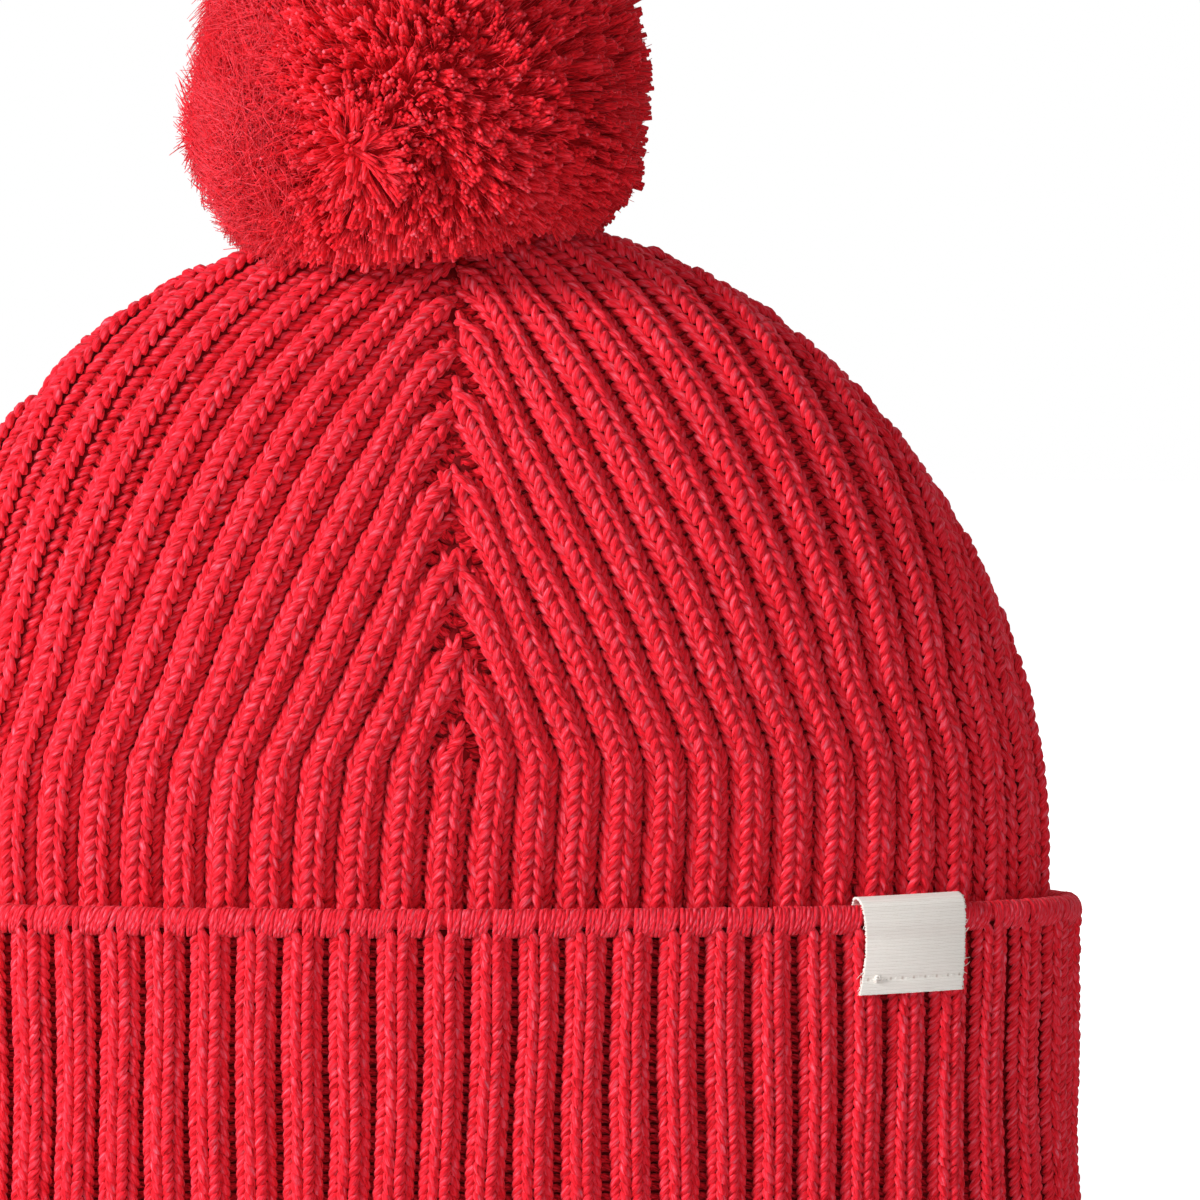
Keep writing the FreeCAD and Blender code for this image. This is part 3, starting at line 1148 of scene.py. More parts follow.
@dataclass
class Crown:
    """The crown: ribs that run up in four quarters and bend into the darts between them."""

    foot: float = 12.0
    swell: float = 9.0
    straight: float = 2.5
    dome: float = 106.0
    fullness: float = 0.97
    slide: float = 1.5
    half_depth: float = 28.0
    levels: int = 320
    around: int = 1600
    back_deep: float = 1.45
    gap_deep: float = 3.5
    rung_deep: float = 3.0
    rung_half: float = 1.8
    face_sunk: float = 0.8
    upper_from: float = 92.0
    thick: float = 3.4
    pitch: float = 6.9
    bend: float = 1.5
    bend_power: float = 0.72
    spread: float = 0.2
    dart_place: float = 1.5
    top_angle: float = 88.6
    path_points: int = 460
    seed: int = 37

    def __post_init__(self) -> None:
        """Read the CAD crown's size and lay out the cloth."""
        self.half_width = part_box("crown_shell")[1].x / MM
        self.dome_foot = top_of("cuff_welt") + self.straight
        self.rng = np.random.default_rng(self.seed)
        self.stitch = Stitch(
            row=2.15, inner=0.88, outer=2.20, yarn=0.80, rows_long=1.70, lean=1.30, arch=0.44,
            heights=(-1.00, 0.25, 0.08, -1.60), point=Point.DOWN,
        )
        self.quarters = (
            Quarter("front_right", FRONT, 1, 0.8, 8.2, 6.2),
            Quarter("back_right", BACK, -1, 0.2, 8.2, 6.2),
            Quarter("back_left", BACK, 1, 0.8, 8.2, 6.2),
            Quarter("front_left", FRONT, -1, 0.2, 9.8, 4.6),
        )
        self.degrees = np.zeros(self.levels)
        self.cloth = Cloth(self.lay_out())

    def lay_out(self) -> Array:
        """The crown's face as a grid, from inside the cuff up to the gathered top.

        Returns:
            The places, rows by points round.
        """
        low = self.levels // 4
        angle = np.linspace(0, np.radians(self.top_angle), self.levels - low)
        angle = np.concatenate([np.zeros(low), angle])
        wide, deep, height, slide = self.profile(angle)
        self.degrees = np.degrees(np.arcsin((height - self.dome_foot) / self.dome))
        height[:low] = np.linspace(self.foot, self.dome_foot, low, endpoint=False)
        plan, _ = oval_ring(wide, deep, self.around)
        return joined(plan[..., 0] - slide[:, None], plan[..., 1], height[:, None])

    def profile(self, angle: Array) -> tuple[Array, Array, Array, Array]:
        """Half width, half depth, height and shift to the left at angles up the dome.

        Args:
            angle: Angles in radians.

        Returns:
            The four measures of each level.
        """
        level, rise = np.cos(angle) ** self.fullness, np.sin(angle) ** self.fullness
        deep = self.half_depth * level + self.swell * np.sin(np.pi * np.sin(angle))
        slide = self.slide * smooth_step((rise - 0.3) / 0.5)
        return self.half_width * level, deep, self.dome_foot + self.dome * rise, slide

    def degrees_at(self, level: Array) -> Array:
        """Angles up the dome at distances up the cloth."""
        return np.interp(level, self.cloth.along, self.degrees)

    def power_at(self, degrees: Array) -> Array:
        """How sharply the ribs bend towards a dart at angles up the dome."""
        return 1 - (1 - self.bend_power) * smooth_step((degrees - 8) / 6)

    def dart_line(self, quarter: Quarter, level: Array) -> Array:
        """Where the dart that a quarter counts from lies, as a share of the way round.

        Args:
            quarter: The quarter.
            level: Distances up the cloth.

        Returns:
            The dart's place at each distance.
        """
        if quarter.start != FRONT:
            return np.full_like(level, quarter.start)
        girth = np.interp(level, self.cloth.along, self.cloth.girth)
        climb = self.degrees_at(level) / 90.0
        return (self.dart_place + 0.5 * np.sin(9.5 * climb + 1.0)) * smooth_step(climb * 6) / girth

    def locate(self, quarter: Quarter, rib: float, level: Array) -> tuple[Array, Array, Array]:
        """Find a rib on the crown.

        Args:
            quarter: The quarter that it is in.
            rib: Its place below the darts, in rib widths from the quarter's first dart.
            level: Distances up the cloth.

        Returns:
            The shares of the way round, and how many rib widths from each of the two darts.
        """
        degrees = self.degrees_at(level)
        start, side = quarter.lost(degrees)
        room = rib - start
        v = np.maximum(room, 1e-3)
        power = self.power_at(degrees)
        bent = np.where(v < self.bend, v**power * self.bend ** (1 - power), v)
        t = bent / (quarter.ribs - start - side)
        spread = self.spread * smooth_step(degrees / 40)
        g = t - spread * t * (1 - t)
        line = self.dart_line(quarter, level)
        share = line + quarter.way * g * quarter.span(line)
        return share, room, quarter.ribs - side - rib

    def rib_at(self, quarter: Quarter, level: Array, share: Array) -> tuple[Array, Array, Array, Array]:
        """The reverse of locate.

        Args:
            quarter: The quarter to look in.
            level: Distances up the cloth.
            share: Shares of the way round.

        Returns:
            The rib that each place is on, its distance from each of the two darts in rib widths,
            and whether it is in the quarter.
        """
        degrees = self.degrees_at(level)
        start, side = quarter.lost(degrees)
        line = self.dart_line(quarter, level)
        turned = np.mod(quarter.way * (share - line) + 0.5, 1.0) - 0.5
        part = turned / quarter.span(line)
        g = np.clip(part, 0, 1)
        spread = np.maximum(self.spread * smooth_step(degrees / 40), 1e-6)
        t = (np.sqrt((1 - spread) ** 2 + 4 * spread * g) - (1 - spread)) / (2 * spread)
        bent = t * (quarter.ribs - start - side)
        power = self.power_at(degrees)
        near = (np.maximum(bent, 1e-6) / self.bend ** (1 - power)) ** (1 / power)
        v = np.where(bent < self.bend, near, bent)
        return v + start, v, quarter.ribs - side - v - start, (part >= 0) & (part <= 1)

    def path(self, quarter: Quarter, rib: float) -> RibPath | None:
        """The middle line of a rib, up to where a dart cuts it.

        Args:
            quarter: The quarter that it is in.
            rib: Its place, in rib widths.

        Returns:
            The line, or None where the darts leave next to nothing of it.
        """
        level = np.linspace(0, self.cloth.along[-1] * 0.995, self.path_points)
        share, from_start, from_side = self.locate(quarter, rib, level)
        gone = (from_start < DART_LAP) | (from_side < DART_LAP)
        last = int(np.argmax(gone)) if gone.any() else len(level)
        if last < FEWEST_POINTS:
            return None
        level, share = level[:last], share[:last]
        centre, out = self.cloth.at(level, share)
        left, right = (
            self.cloth.at(level, self.locate(quarter, rib + step, level)[0])[0] for step in (-0.25, 0.25)
        )
        apart = right - left
        up = unit(np.gradient(centre, axis=0))
        square = apart - up * (apart * up).sum(-1, keepdims=True)
        scale = np.clip(2 * np.linalg.norm(square, axis=-1) / self.pitch, 0.70, 1.12)
        return RibPath(centre, out, level, scale, share)

    def sinking(self, quarter: Quarter, rib: float, path: RibPath, rows: Array) -> Array:
        """How far each stitch column, rows by four, lies below the face, NaN where a dart has taken it.

        Args:
            quarter: The quarter that the rib is in.
            rib: Its place, in rib widths.
            path: Its middle line.
            rows: Distances of the stitches along it.

        Returns:
            The depths in millimetres, with NaN for no stitch.
        """
        level = np.interp(rows, path.run, path.level)
        start, side = quarter.lost(self.degrees_at(level))
        girth = np.interp(level, self.cloth.along, self.cloth.girth)
        line = self.dart_line(quarter, level)
        turned = quarter.way * (np.interp(rows, path.run, path.share) - line)
        around = quarter.span(line) * girth
        flat = np.linalg.norm(path.side[:, :2], axis=1)
        across = np.interp(rows, path.run, path.scale * flat)[:, None] * self.stitch.middles() * quarter.way
        from_start = (turned * girth)[:, None] + across
        from_side = (around - turned * girth)[:, None] - across
        sink = self.face_sunk + 0.12 * np.sin(rows * 0.13 + rib)[:, None] + np.zeros((1, 4))
        for room, taken in ((from_start, start), (from_side, side)):
            active = smooth_step(taken * 4)[:, None]
            sink = sink + active * 1.1 * bell(np.maximum(room - 0.3, 0) / 1.1)
            sink = np.where((room < 0.30) & (taken[:, None] > 0.02), np.nan, sink)
        return sink

    def knit(self, finish: bpy.types.Material) -> list[bpy.types.Object]:
        """The stitches of the crown, quarter by quarter, those hidden in the cuff with fewer faces.

        Args:
            finish: The yarn.

        Returns:
            The pieces.
        """
        labels = ("tucked", "lower", "upper")
        hidden = replace(self.stitch, dots=5, sides=5)
        split = np.array([foot_of("cuff_welt") - 4.0, self.upper_from])
        pieces = []
        for quarter in self.quarters:
            parts: list[list[Strands]] = [[] for _ in labels]
            for number in range(quarter.ribs):
                rib = number + quarter.first
                for step in (0.0, 0.5) if number else (-0.5, 0.0, 0.5):
                    path = self.path(quarter, rib + step) if 0 < rib + step < quarter.ribs else None
                    if path is None:
                        continue
                    rows = np.arange(self.stitch.row * 0.5, path.run[-1] - 0.3, self.stitch.row)
                    part = np.searchsorted(split, np.interp(rows, path.run, path.centre[:, 2]))
                    sink = self.sinking(quarter, rib + step, path, rows)
                    for k in range(len(labels)):
                        chosen = rows[part == k], sink[part == k]
                        if step:
                            chosen = self.bars_left(*chosen)
                        if not len(chosen[0]) or np.isnan(chosen[1]).all():
                            continue
                        if step:
                            bars = self.stitch.rungs(path, chosen[0], self.rung_half, chosen[1], self.rng)
                            parts[k].append(bars)
                        else:
                            stitch = self.stitch if k else hidden
                            parts[k].append(stitch.legs(path, *chosen, self.rng))
            for label, part in zip(labels, parts):
                pieces.append(strands_object(f"crown_{quarter.name}_{label}_stitches", part, finish))
        return pieces

    def bars_left(self, rows: Array, sink: Array) -> tuple[Array, Array]:
        """The rows of a gap that no dart has taken, and the depths of their bars.

        Args:
            rows: Distances of the rows along the gap.
            sink: What sinking says of them.

        Returns:
            The rows and depths.
        """
        kept = ~np.isnan(sink).all(1)
        depth = sink[kept].mean(1, where=~np.isnan(sink[kept])) + self.rung_deep - self.face_sunk
        return rows[kept], np.minimum(depth, self.rung_deep)

    def backing(self, finish: bpy.types.Material) -> bpy.types.Object:
        """The cloth behind the stitches and inside the hat.

        Args:
            finish: Its finish.

        Returns:
            The piece.
        """
        samples, rows = 480, 92
        along = np.linspace(0, self.cloth.along[-1], rows)
        a, s = np.meshgrid(along, np.arange(samples) / samples, indexing="ij")
        depth = np.zeros_like(a)
        bulge = np.zeros_like(a)
        for quarter in self.quarters:
            rib, from_start, from_side, mine = self.rib_at(quarter, a, s)
            start, side = quarter.lost(self.degrees_at(a))
            phase = np.abs(np.mod(rib - quarter.first + 0.5, 1.0) - 0.5)
            here = self.back_deep + (self.gap_deep - self.back_deep) * smooth_step((phase - 0.28) / 0.14)
            here = here + 0.7 * smooth_step(start * 4) * bell(from_start / 0.1)
            here = here + 0.7 * smooth_step(side * 4) * bell(from_side / 0.1)
            depth = np.where(mine, here, depth)
            bulge = np.where(mine, np.cos(2 * np.pi * phase), bulge)
        places, out = self.cloth.at(a, s)
        inner = places - out * (self.thick + 0.5 + 0.5 * bulge)[..., None]
        depth = np.minimum(depth, self.thick + 0.1)
        return shell_object("crown_cloth", places - out * depth[..., None], inner, finish)

    def height_over(self, x: Array, y: Array) -> Array:
        """Height of the crown's face over places seen from above, and its foot outside.

        Args:
            x: Places along X.
            y: Places along Y.

        Returns:
            The heights, and far below where no crown is.
        """
        wide, deep, height, slide = self.profile(np.radians(np.linspace(0, 89.5, 180)))
        outside = ((x[..., None] + slide) / wide) ** 2 + (y[..., None] / deep) ** 2 > 1
        first = np.where(outside.any(-1), outside.argmax(-1), len(height) - 1)
        return height[first] - np.where(first == 0, FAR_BELOW, 0.0)


# --------------------------------------------------------------------------- pom


@dataclass
class Pom:
    """The pom: plied yarn cut short and packed, brushed out to loose fibres on its left side.

    A yarn end is modelled over the outer share of the radius that depth gives, and packed is the share
    that the ball of packed yarn behind them reaches. A crease is a direction with its size, a bulge one
    with its size and its share of the radius.
    """

    crown: Crown
    yarns: int = 5400
    fibres: int = 29000
    groups: int = 6
    depth: float = 0.27
    packed: float = 0.905
    stir: float = 0.02
    spread: float = 2.2
    dots: int = 5
    ply_thick: float = 0.41
    ply_apart: float = 0.38
    ply_turn: float = 2.2
    fibre_thick: tuple[float, ...] = (0.13, 0.13, 0.12, 0.10, 0.05)
    seed: int = 5
    parting: tuple[float, float, float] = (-0.33, -0.90, -0.29)
    creases: tuple[tuple[float, float, float, float], ...] = (
        (0.68, -0.72, 0.02, 0.07),
        (0.88, -0.42, 0.24, 0.06),
        (0.26, -0.94, 0.22, 0.055),
        (0.10, -0.93, -0.36, 0.07),
        (0.50, -0.80, 0.34, 0.05),
    )
    bulges: tuple[tuple[float, float, float, float, float], ...] = (
        (1.00, -0.10, -0.05, 0.60, -0.055),
        (-0.97, 0.00, -0.21, 0.17, 0.060),
        (-0.98, 0.00, 0.15, 0.17, -0.065),
        (-0.88, 0.00, -0.44, 0.15, -0.050),
        (0.83, 0.00, 0.50, 0.45, 0.030),
    )

    def __post_init__(self) -> None:
        """Read the CAD pom's place and size."""
        low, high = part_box("pom_fibres")
        self.round = (high.x - low.x) / 2 / MM
        self.middle = np.array([(low.x + high.x) / 2, (low.y + high.y) / 2, high.z]) / MM
        self.middle[2] -= self.round
        self.under = low.z / MM
        self.rng = np.random.default_rng(self.seed)

    def crease_at(self, direction: Array) -> Array:
        """How deep in a crease each direction is, from 0 to 1.

        Args:
            direction: Directions from the pom's middle.

        Returns:
            The depths.
        """
        deep = np.zeros(direction.shape[:-1])
        for *place, size in self.creases:
            away = direction - unit(np.array(place))
            spot = joined(away[..., 0] + 0.25 * away[..., 2], away[..., 1], away[..., 2] * 0.45)
            deep = np.maximum(deep, bell(np.linalg.norm(spot, axis=-1) / size))
        return deep

    def swelling(self, direction: Array) -> Array:
        """Share of the radius by which the ball bulges in a direction.

        Args:
            direction: Directions from the pom's middle.

        Returns:
            The shares.
        """
        x, y, z = direction[..., 0], direction[..., 1], direction[..., 2]
        waves = 0.020 * np.sin(3.1 * x + 5.2 * z + 0.7) + 0.016 * np.sin(6.3 * y - 4.1 * x + 2.0)
        waves = waves + 0.012 * np.sin(9.0 * z + 7.0 * y + 1.0) + 0.010 * np.sin(13 * x + 11 * z)
        for *place, size, rise in self.bulges:
            waves = waves + rise * bell(np.linalg.norm(direction - unit(np.array(place)), axis=-1) / size)
        return waves - 0.17 * self.crease_at(direction)

    def directions(self, number: int) -> Array:
        """Directions spread evenly over a ball, slightly stirred.

        Args:
            number: How many.

        Returns:
            The directions.
        """
        k = np.arange(number) + 0.5
        z = 1 - 2 * k / number
        turn = np.pi * (1 + 5**0.5) * k
        flat = np.sqrt(1 - z * z)
        even = joined(flat * np.cos(turn), flat * np.sin(turn), z)
        return unit(even + self.rng.normal(0, self.stir, even.shape))

    def brushed(self, direction: Array) -> Array:
        """How far the yarn is brushed out, from 0 to 1, at the left of the parting."""
        return smooth_step((-0.42 - direction[..., 0]) / 0.34)

    def lean(self, direction: Array) -> Array:
        """How far the tips lie from straight out: away from the parting and the creases, stirred in tufts.

        Args:
            direction: Directions of the roots.

        Returns:
            The change of direction for each.
        """
        away = direction - unit(np.array(self.parting)) + self.rng.normal(0, 0.03, direction.shape)
        gap = np.linalg.norm(away, axis=-1, keepdims=True)
        fanned = 0.25 + 0.75 * smooth_step((away @ np.array([0.8, 0.0, 0.6]) + 0.04) / 0.12)[..., None]
        lean = away / np.maximum(gap, 0.06) * (0.72 * fanned * bell(gap / 0.20) + 0.02)
        x, y, z = direction[..., 0], direction[..., 1], direction[..., 2]
        stir = joined(np.sin(11 * y + 7 * z), np.sin(9 * z + 8 * x + 1), np.sin(12 * x - 7 * y + 2))
        return lean + 0.035 * stir + self.rng.normal(0, 0.05, direction.shape)

    def settle(self, places: Array) -> Array:
        """Press places together above the flat underside and keep them out of the crown.

        Args:
            places: Places, with x, y and z last.

        Returns:
            The places after it.
        """
        knee = self.under + 6.0
        spread = np.hypot(places[..., 0] - self.middle[0], places[..., 1])
        hang = np.interp(spread, [8, 14, 20, 27], [0.30, 0.45, 0.64, 0.96])
        hang = hang * np.interp(places[..., 0], [0, 12, 24], [1.0, 0.84, 0.88])
        settled = places.copy()
        height = places[..., 2]
        height = np.where(height < knee, knee - (knee - height) * hang, height)
        floor = self.crown.height_over(places[..., 0], places[..., 1]) + 0.7
        settled[..., 2] = np.maximum(height, floor)
        return settled

    def lines(self, direction: Array, reach: Array, lean: Array, dots: int) -> Array:
        """Curved lines from inside the ball to its face.

        Args:
            direction: Where each line comes out, as a direction from the pom's middle.
            reach: How far out each one ends.
            lean: The direction's change from the line's start to its end.
            dots: Points on each line.

        Returns:
            Places, lines by points by three.
        """
        t = np.linspace(0, 1, dots)[:, None]
        way = unit(direction[:, None] + lean[:, None] * (t - 0.72) * 0.9)
        far = reach[:, None, None] - self.round * self.depth * (1 - t)
        return self.settle(way * far + self.middle)

    def plies(self) -> tuple[Strands, Array]:
        """The plied yarn ends, three strands twisted to a yarn, and each strand's share of the way round.

        Returns:
            The strands and their shares.
        """
        root = self.directions(self.yarns)
        brushed = self.brushed(root)
        lean = self.lean(root)
        reach = self.round * (1 + self.swelling(root) + self.rng.normal(0, 0.017, self.yarns))
        reach = reach * (1 - 0.05 * brushed)
        line = self.lines(root, reach, lean, self.dots)
        heading = unit(line[:, -1] - line[:, 0])
        helper = np.where(np.abs(heading[:, 2:3]) < 0.9, [0.0, 0.0, 1.0], [1.0, 0.0, 0.0])
        side = unit(np.cross(heading, helper))
        other = unit(np.cross(side, heading))
        t = np.linspace(0, 1, self.dots)
        turn = self.rng.uniform(0, 2 * np.pi, (self.yarns, 1, 1)) + np.arange(3)[:, None] * 2 * np.pi / 3
        turn = turn + t * self.ply_turn
        offset = self.ply_apart + 0.04 * t**3 + 0.35 * brushed[:, None, None] * t**2
        places = (
            line[:, None]
            + side[:, None, None] * (offset * np.cos(turn))[..., None]
            + other[:, None, None] * (offset * np.sin(turn))[..., None]
        )
        places[..., -1, :] += heading[:, None] * self.rng.normal(0, 0.40, (self.yarns, 3, 1))
        size = self.ply_thick * (1 + 0.15 * t) * np.ones((self.yarns, 3, 1))
        size = size * (1 - 0.3 * brushed[:, None, None])
        size = size * (1 + 0.12 * self.rng.normal(0, 1, (self.yarns, 3, 1)))
        size[..., -1] *= 0.72
        # Painted light: lighter towards the tips, darker at the roots deep in the ball, and darker over the
        # right side, away from the key lamp, over a random tone.
        tint = 0.36 + 0.34 * t**2 + 0.10 * self.rng.normal(0, 1, (self.yarns, 1, 1))
        tint = tint - 0.36 * smooth_step((root[:, 0] - 0.40) / 0.4)[:, None, None]
        tint = np.clip(tint + 0.05 * self.rng.normal(0, 1, (self.yarns, 3, 1)) + 0 * t, 0, 1)
        out = side[:, None, None] + 0 * places
        places, out, size, tint = (v.reshape(self.yarns * 3, *v.shape[2:]) for v in (places, out, size, tint))
        strands = Strands(places, out, size, size, tint, 4)
        return strands, np.repeat(self.round_share(root), 3)

    def loose_fibres(self) -> tuple[Strands, Array]:
        """Single fibres that stand out of the face, most of them where it is brushed, and their shares round.

        Returns:
            The fibres and their shares.
        """
        root = self.directions(int(self.fibres * self.spread))
        brushed = self.brushed(root)
        chosen = self.rng.uniform(0, 1, len(root)) < 0.36 + 0.64 * brushed
        root, brushed = root[chosen], brushed[chosen]
        number = len(root)
        x, y, z = root[:, 0], root[:, 1], root[:, 2]
        swirl = joined(np.sin(5 * z + 3 * y), np.cos(4 * x + 5 * z), np.sin(6 * y + 4 * x + 1))
        lean = self.lean(root) + brushed[:, None] * (0.24 * swirl + self.rng.normal(0, 0.42, root.shape))
        reach = self.round * (1 + self.swelling(root) + 0.004 + self.rng.normal(0, 0.014, number))
        reach = reach + brushed * np.abs(self.rng.normal(0, 0.6, number))
        line = self.lines(root, reach, lean, self.dots)
        t = np.linspace(0, 1, self.dots)
        crimp = self.rng.normal(0, 1.0, (number, 1, 3)) * (t * (1 - t))[:, None]
        line = line + crimp * (0.4 + 2.2 * brushed[:, None, None])
        size = np.array(self.fibre_thick) * (1 + 0.2 * self.rng.normal(0, 1, (number, 1)))
        # Painted light: lighter towards the tips and on the brushed left, where the key lamp falls, and
        # darker over the right side, away from it.
        rosy = 0.20 * np.sin(7 * x + 5 * z + 1) * np.sin(8 * z - 3 * x) * brushed
        tint = 0.40 + 0.14 * brushed - 0.28 * smooth_step((x - 0.40) / 0.4) + rosy
        tint = (tint + 0.14 * self.rng.normal(0, 1, number))[:, None] + 0.25 * t
        out = unit(np.cross(line[:, -1] - line[:, 0], root + 0.3))
        strands = Strands(line, out[:, None] + 0 * line, size, size, np.clip(tint, 0, 1), 3)
        return strands, self.round_share(root)

    def round_share(self, direction: Array) -> Array:
        """Share of the way round the upright axis, from the front."""
        return np.mod(np.arctan2(direction[:, 0], -direction[:, 1]) / (2 * np.pi), 1.0)

    def part_of(self, strands: Strands, chosen: Array) -> Strands:
        """Some of the strands."""
        return Strands(
            strands.centre[chosen], strands.out[chosen], strands.wide[chosen], strands.deep[chosen],
            strands.tint[chosen], strands.sides,
        )

    def make(self, finish: bpy.types.Material, core_finish: bpy.types.Material) -> list[bpy.types.Object]:
        """Build the yarn ends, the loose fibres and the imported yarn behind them.

        Args:
            finish: The yarn.
            core_finish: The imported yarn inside.

        Returns:
            The pieces.
        """
        pieces = []
        kinds = (("yarn_ends", self.plies()), ("loose_fibres", self.loose_fibres()))
        for label, (strands, share) in kinds:
            group = np.argsort(np.argsort(share)) * self.groups // len(share)
            for k in range(self.groups):
                part = self.part_of(strands, group == k)
                pieces.append(strands_object(f"pom_{label}_{k + 1}", [part], finish))
        pieces.append(self.core(core_finish))
        return pieces

    def core(self, finish: bpy.types.Material) -> bpy.types.Object:
        """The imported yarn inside, which closes the ball.

        Args:
            finish: Its finish.

        Returns:
            The piece.
        """
        rows, around = 40, 64
        polar = np.linspace(0.02, np.pi - 0.02, rows)[:, None]
        turn = np.arange(around) * 2 * np.pi / around
        flat = np.sin(polar)
        direction = joined(flat * np.cos(turn), flat * np.sin(turn), np.cos(polar) + 0 * turn)
        reach = self.round * self.packed * (1 + self.swelling(direction))
        places = self.settle(direction * reach[..., None] + self.middle)
        ends = np.stack([np.arange(around), np.arange(around)[::-1] + (rows - 1) * around])
        share = ring_maps(rows, around)
        faces = ring_faces(rows, around)[:, ::-1]
        geometry = Geometry()
        blank = np.zeros((2, around, 2))
        geometry.add(places.reshape(-1, 3), [faces, ends], [share * 100, blank], [share, blank], 0.1)
        return geometry.build("pom_packed_yarn", finish)


# --------------------------------------------------------------------------- tab


@dataclass
class Tab:
    """The woven tab: cotton tape folded over the bound edge and sewn down, its cut ends frayed."""

    cuff: Cuff
    thick: float = 0.38
    lift: float = 0.45
    shift: float = 0.75
    front: float = -0.62
    back: float = 3.6
    moved: float = -1.0
    raised: float = 2.0
    narrowed: float = 0.95
    seam_up: float = 2.4
    holes: int = 9
    rows: int = 220
    columns: int = 65
    rim_points: int = 5760
    leg_points: int = 110
    bend_points: int = 80
    frayed: int = 30
    hairs: int = 26
    seed: int = 71

    def __post_init__(self) -> None:
        """Read the CAD tab's box and lay out the tape's course over the edge."""
        low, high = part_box("label_tab")
        self.low = np.array(low) / MM
        self.high = np.array(high) / MM
        self.wide = (self.high[0] - self.low[0]) * self.narrowed
        self.rng = np.random.default_rng(self.seed)
        self.rim = Rim(self.cuff.half_width, self.cuff.half_depth, self.rim_points)
        self.course = self.lay_course(self.rows)

    def lay_course(self, count: int) -> Array:
        """Inset, height and length along the tape: up the front, over the edge and down the back.

        Args:
            count: Points on the course.

        Returns:
            The three measures, point by point.
        """
        radius = (self.back - self.front) / 2
        rise = radius * 0.62
        foot = self.low[2] + self.raised
        straight = self.high[2] + 0.4 - self.thick / 2 - rise - foot
        leg, bend = self.leg_points, self.bend_points
        angle = np.concatenate([[0.0] * leg, np.linspace(0, np.pi, bend), [np.pi] * leg])
        up = np.concatenate([np.linspace(0, straight, leg, endpoint=False), [straight] * bend])
        up = np.concatenate([up, np.linspace(straight, 0, leg + 1)[1:]])
        hug = 0.55 * smooth_step((straight - 2.5 - up) / 3.0) * (angle < 1)
        inset = self.front + radius * (1 - np.cos(angle)) + hug
        height = foot + up + rise * np.sin(angle)
        run = np.concatenate([[0.0], np.cumsum(np.hypot(np.diff(inset), np.diff(height)))])
        even = np.linspace(0, run[-1], count)
        return joined(np.interp(even, run, inset), np.interp(even, run, height), even)

    def course_at(self, along: Array) -> list[Array]:
        """Inset and height at distances along the tape."""
        return [np.interp(along, self.course[:, 2], self.course[:, k]) for k in (0, 1)]

    def places(self, across: Array, along: Array, out: Array) -> Array:
        """Places on the tape.

        Args:
            across: Share of the width, from -0.5 at the left to 0.5.
            along: Distance along the tape from its front end.
            out: Distance out from its middle.

        Returns:
            The places in millimetres.
        """
        step = 0.05
        (inset, height), ahead, behind = (self.course_at(along + shift) for shift in (0.0, step, -step))
        tangent = unit(joined(ahead[0] - behind[0], ahead[1] - behind[1]))
        inset = inset - tangent[..., 1] * out
        height = height + tangent[..., 0] * out + self.lift * across
        share = along / self.course[-1, 2]
        bow = self.shift * np.sin(np.pi * np.clip(share * 2.15, 0, 1))
        x = (self.low[0] + self.high[0]) / 2 + self.moved + bow + across * (self.wide - 0.9 * bow)
        near = self.rim.around // 4 + 1
        where = np.interp(x, self.rim.places[:near, 0], np.arange(near)) / self.rim.around
        return self.rim.at(where, inset, height)

    def tape(self, finish: bpy.types.Material) -> bpy.types.Object:
        """The tape, drawn in along its seam.

        Args:
            finish: The woven cotton.

        Returns:
            The piece.
        """
        columns = self.columns
        across = np.linspace(-0.5, 0.5, columns)[None]
        along = self.course[:, 2][:, None]
        total = self.course[-1, 2]
        rough = 0.006 * self.rng.normal(0, 1, (len(along), 2))
        edge = np.where(across < 0, rough[:, :1], rough[:, 1:]) * (np.abs(across) > 0.49)
        pull = bell((along - self.seam_up) / 0.5)
        sag = 0.22 * np.cos(np.pi * across) * np.sin(np.pi * np.clip(along / total * 2.3, 0, 1))
        lift = sag - 0.20 * pull
        outer = self.places(across + edge, along, self.thick / 2 + lift)
        inner = self.places(across + edge, along, -self.thick / 2 + lift)
        rows = len(along)
        strip = np.concatenate([outer, inner[:, ::-1]], 1)
        around = strip.shape[1]
        share = ring_maps(rows, around)
        step = np.arange(columns - 1)
        cap = np.stack([step, step + 1, around - 2 - step, around - 1 - step], -1)
        ends = np.concatenate([cap, (cap + (rows - 1) * around)[:, ::-1]])
        blank = np.zeros((len(ends), 4, 2))
        geometry = Geometry()
        geometry.add(
            strip.reshape(-1, 3),
            [ring_faces(rows, around)[:, ::-1], ends],
            [share * [total, 2 * self.wide], blank],
            [share * 0.98 + 0.01, blank],
            0.5,
        )
        return geometry.build("woven_tab", finish)

    def thread(
        self,
        places: Array,
        wide: Array | float,
        deep: Array | float,
        tint: float,
        lean: float = 0.0,
        sides: int = 5,
    ) -> Strands:
        """Cotton thread that lies on the front.

        Args:
            places: Its middle lines.
            wide: Half its width.
            deep: Half its depth.
            tint: Its colour's place.
            lean: How far its outer side faces up.
            sides: Faces round it.

        Returns:
            The thread as yarn lengths.
        """
        out = np.broadcast_to([0.0, -1.0, lean], places.shape)
        return Strands(places, out, wide, deep, np.full(len(places), tint), sides)

